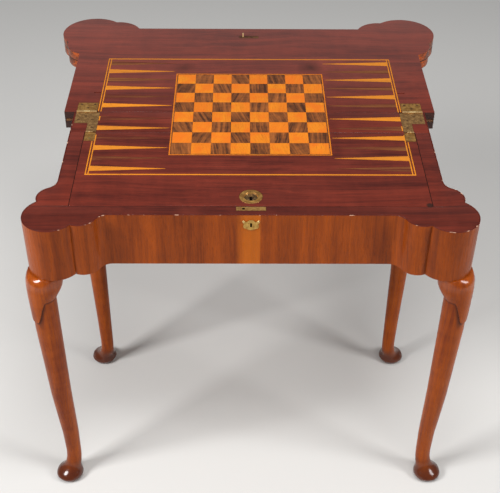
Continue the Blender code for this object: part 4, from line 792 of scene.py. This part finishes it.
old_brass = metal_finish("old_brass", (0.68, 0.37, 0.10), (0.36, 0.17, 0.042),
                         (0.045, 0.022, 0.008), age=0.7, metal=0.7)
bright_brass = metal_finish("bright_brass", (0.80, 0.60, 0.26), (0.50, 0.34, 0.12),
                            (0.10, 0.06, 0.02), age=0.4)
dress(("leaf_hinge_left", "leaf_hinge_right", "lid_hinge_left", "lid_hinge_right",
       "lid_escutcheon"), old_brass)
dress(("base_hinge_left", "base_hinge_right"),
      metal_finish("dull_brass", (0.50, 0.28, 0.10), (0.27, 0.14, 0.048), (0.035, 0.018, 0.008),
                   age=0.85, metal=0.6, shine=0.25))
dress(("box_lock_case",),
      metal_finish("lock_brass", (0.68, 0.40, 0.12), (0.38, 0.19, 0.055), (0.045, 0.022, 0.008),
                   age=0.6, metal=0.7, dark_below=LOCK_PLATE_DEEP))
dress(("frieze_escutcheon",),
      metal_finish("pinned_brass", (0.62, 0.38, 0.10), (0.36, 0.19, 0.045), (0.06, 0.03, 0.010),
                   age=0.55, metal=0.8))
dress(("link_plate", "tea_hinge_upper_left", "tea_hinge_upper_right", "tea_hinge_lower_left",
       "tea_hinge_lower_right"),
      metal_finish("black_brass", (0.22, 0.10, 0.035), (0.10, 0.035, 0.015), (0.03, 0.012, 0.006),
                   age=0.8, metal=0.4))
dress(("lid_lock_bolt",), bright_brass)
dress(("box_lock_bolt",),
      metal_finish("lock_iron", (0.05, 0.045, 0.04), (0.03, 0.025, 0.02), (0.015, 0.01, 0.008),
                   age=0.8, metal=0.5))
dress(("lid_lock_case", "gate_pin_left", "gate_pin_right"),
      metal_finish("old_iron", (0.20, 0.19, 0.18), (0.10, 0.085, 0.075), (0.05, 0.025, 0.015),
                   age=0.8))

# Hinge screws: slotted brass screws, filed flush with the plates, three to each leaf plate and four
# to each box plate with its tail. Their slots are filled with old wax and dirt.
SCREW_RADIUS = 0.0029
SCREW_SEGMENTS = 20
SCREW_RIM = SCREW_RADIUS * 0.14
SCREW_PROUD = 0.00012
SLOT_HALF = 0.00035
SLOT_DEPTH = SCREW_PROUD * 0.7
TOP_LEVEL = 0.691
FIRST_TURN = 0.7
NEXT_TURN = 1.3
SIDE_TURN = 0.4
LEAF_SCREWS = ((0.3225, 0.0285), (0.3495, 0.0285), (0.336, 0.0150))
BOX_SCREWS = ((0.3215, -0.0310), (0.3495, -0.0310), (0.3365, -0.0165), (0.3190, -0.0600))

screw_brass = metal_finish("screw_brass", (0.30, 0.15, 0.05), (0.14, 0.065, 0.022),
                           (0.03, 0.015, 0.006), age=0.7, metal=0.6)
slot_dirt = metal_finish("slot_dirt", (0.06, 0.035, 0.018), (0.03, 0.017, 0.010),
                         (0.01, 0.006, 0.004), age=0.8, metal=0.0)


def corners(faces):
    return list({vert for face in faces for vert in face.verts})


def slotted_screw(heads, place, turn):
    """One countersunk head: a capped ring with an inset rim and a sunk slot across it."""
    head = bmesh.new()
    bmesh.ops.create_circle(head, cap_ends=True, segments=SCREW_SEGMENTS, radius=SCREW_RADIUS)
    rim = bmesh.ops.inset_region(head, faces=head.faces[:], thickness=SCREW_RIM)["faces"]
    crown = [face for face in head.faces if face not in rim]
    bmesh.ops.translate(head, verts=corners(crown), vec=(0, 0, SCREW_PROUD))
    for side in (-1, 1):
        bmesh.ops.bisect_plane(head, geom=head.verts[:] + head.edges[:] + head.faces[:],
                               plane_co=(0, side * SLOT_HALF, 0), plane_no=(0, 1, 0))
    slot = [face for face in head.faces if abs(face.calc_center_median().y) < SLOT_HALF / 2
            and face.normal.z > 0.99]
    sunk = bmesh.ops.extrude_discrete_faces(head, faces=slot)["faces"]
    bmesh.ops.translate(head, verts=corners(sunk), vec=(0, 0, -SLOT_DEPTH))
    for face in sunk + rim:
        if face.is_valid:
            face.material_index = 1
    bmesh.ops.holes_fill(head, edges=[edge for edge in head.edges if edge.is_boundary])
    bmesh.ops.recalc_face_normals(head, faces=head.faces[:])
    bmesh.ops.transform(head, matrix=Matrix.Translation(place) @ Matrix.Rotation(turn, 4, "Z"),
                        verts=head.verts[:])
    single = new_mesh("screw", head)
    heads.from_mesh(single)
    bpy.data.meshes.remove(single)


for name, body, places in (("leaf_hinge_screws", "games_leaf", LEAF_SCREWS),
                           ("base_hinge_screws", "base", BOX_SCREWS)):
    heads = bmesh.new()
    for count, (x, y) in enumerate(places):
        for side in (-1, 1):
            slotted_screw(heads, (side * x, y + FOLD_Y, TOP_LEVEL),
                          FIRST_TURN + NEXT_TURN * count + side * SIDE_TURN)
    piece = new_object(name, new_mesh(name, heads))
    piece.data.materials.append(screw_brass)
    piece.data.materials.append(slot_dirt)
    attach(piece, body)

# Round-headed brass: one domed screw holds each tail to the lid, and two domed nails hold the
# shaped keyhole plate to the frieze. Their crowns are rubbed bright.
DOME_SEGMENTS = 18
DOME_RINGS = 10
TAIL_SCREW_RADIUS = 0.0027
TAIL_SCREW_FLATNESS = 0.12
TAIL_SCREW_PLACES = [(side * 0.3190, -0.0995 + FOLD_Y, TOP_LEVEL - 0.00015) for side in (-1, 1)]
NAIL_RADIUS = 0.0025
NAIL_FLATNESS = 0.6
NAIL_PLACES = [(side * 0.0135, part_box("frieze_escutcheon")[0].y, 0.6777) for side in (-1, 1)]

for name, body, radius, flatness, turn, places in (
        ("tail_screws", "well_lid", TAIL_SCREW_RADIUS, TAIL_SCREW_FLATNESS, 0, TAIL_SCREW_PLACES),
        ("escutcheon_nails", "base", NAIL_RADIUS, NAIL_FLATNESS, math.radians(90), NAIL_PLACES)):
    domes = bmesh.new()
    for place in places:
        dome = bmesh.ops.create_uvsphere(domes, u_segments=DOME_SEGMENTS, v_segments=DOME_RINGS,
                                         radius=radius)["verts"]
        bmesh.ops.scale(domes, vec=(1, 1, flatness), verts=dome)
        bmesh.ops.rotate(domes, verts=dome, cent=(0, 0, 0), matrix=Matrix.Rotation(turn, 3, "X"))
        bmesh.ops.translate(domes, verts=dome, vec=place)
    bmesh.ops.recalc_face_normals(domes, faces=domes.faces[:])
    for face in domes.faces:
        face.smooth = True
    piece = new_object(name, new_mesh(name, domes))
    piece.data.materials.append(bright_brass)
    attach(piece, body)

# Lid keyhole plate: a turned brass ring with a bead round a sunk well, pierced with a large keyhole
# in its floor, driven flush into the lid. Its well has filled with dark wax.
PLATE_PROFILE = ((0.0214, 0.6867), (0.0216, 0.6869), (0.0216, 0.6906), (0.0213, 0.6909),
                 (0.0152, 0.6906), (0.0147, 0.6907), (0.0141, 0.6911), (0.0134, 0.6911),
                 (0.0130, 0.6906), (0.0126, 0.6880), (0.0123, 0.6876))
WELL_RADIUS = 0.0127
HOLE_RADIUS = 0.0050
HOLE_PROFILE = ((HOLE_RADIUS, 0.6876), (HOLE_RADIUS, 0.6867))
SLIT_HALF = 0.0018
SLIT_REACH = 0.0085
PLATE_SEGMENTS = 48

well_brass = metal_finish("well_brass", (0.30, 0.18, 0.07), (0.10, 0.055, 0.022),
                          (0.02, 0.010, 0.005), age=0.8, metal=0.5)
plate = bmesh.new()
points = [plate.verts.new((radius, 0, height)) for radius, height in PLATE_PROFILE + HOLE_PROFILE]
outline = [plate.edges.new(pair) for pair in zip(points, points[1:])]
bmesh.ops.spin(plate, geom=points + outline, cent=(0, 0, 0), axis=(0, 0, 1), dvec=(0, 0, 0),
               angle=2 * math.pi, steps=PLATE_SEGMENTS, use_merge=True)
bmesh.ops.remove_doubles(plate, verts=plate.verts[:], dist=0.00001)
for vert in plate.verts:
    if math.hypot(vert.co.x, vert.co.y) < HOLE_RADIUS + 0.0001 and vert.co.y < -HOLE_RADIUS * 0.80:
        vert.co.x = max(-SLIT_HALF, min(SLIT_HALF, vert.co.x))
        vert.co.y = -SLIT_REACH
bmesh.ops.recalc_face_normals(plate, faces=plate.faces[:])
for face in plate.faces:
    middle = face.calc_center_median()
    face.material_index = 1 if math.hypot(middle.x, middle.y) < WELL_RADIUS else 0
    face.smooth = True
bmesh.ops.translate(plate, verts=plate.verts[:], vec=(*KEY_WELL_PLACE, 0))
piece = new_object("turned_keyhole_plate", new_mesh("turned_keyhole_plate", plate))
piece.data.set_sharp_from_angle(angle=math.radians(40))
piece.data.materials.append(old_brass)
piece.data.materials.append(well_brass)
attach(piece, "well_lid")
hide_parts("lid_escutcheon")
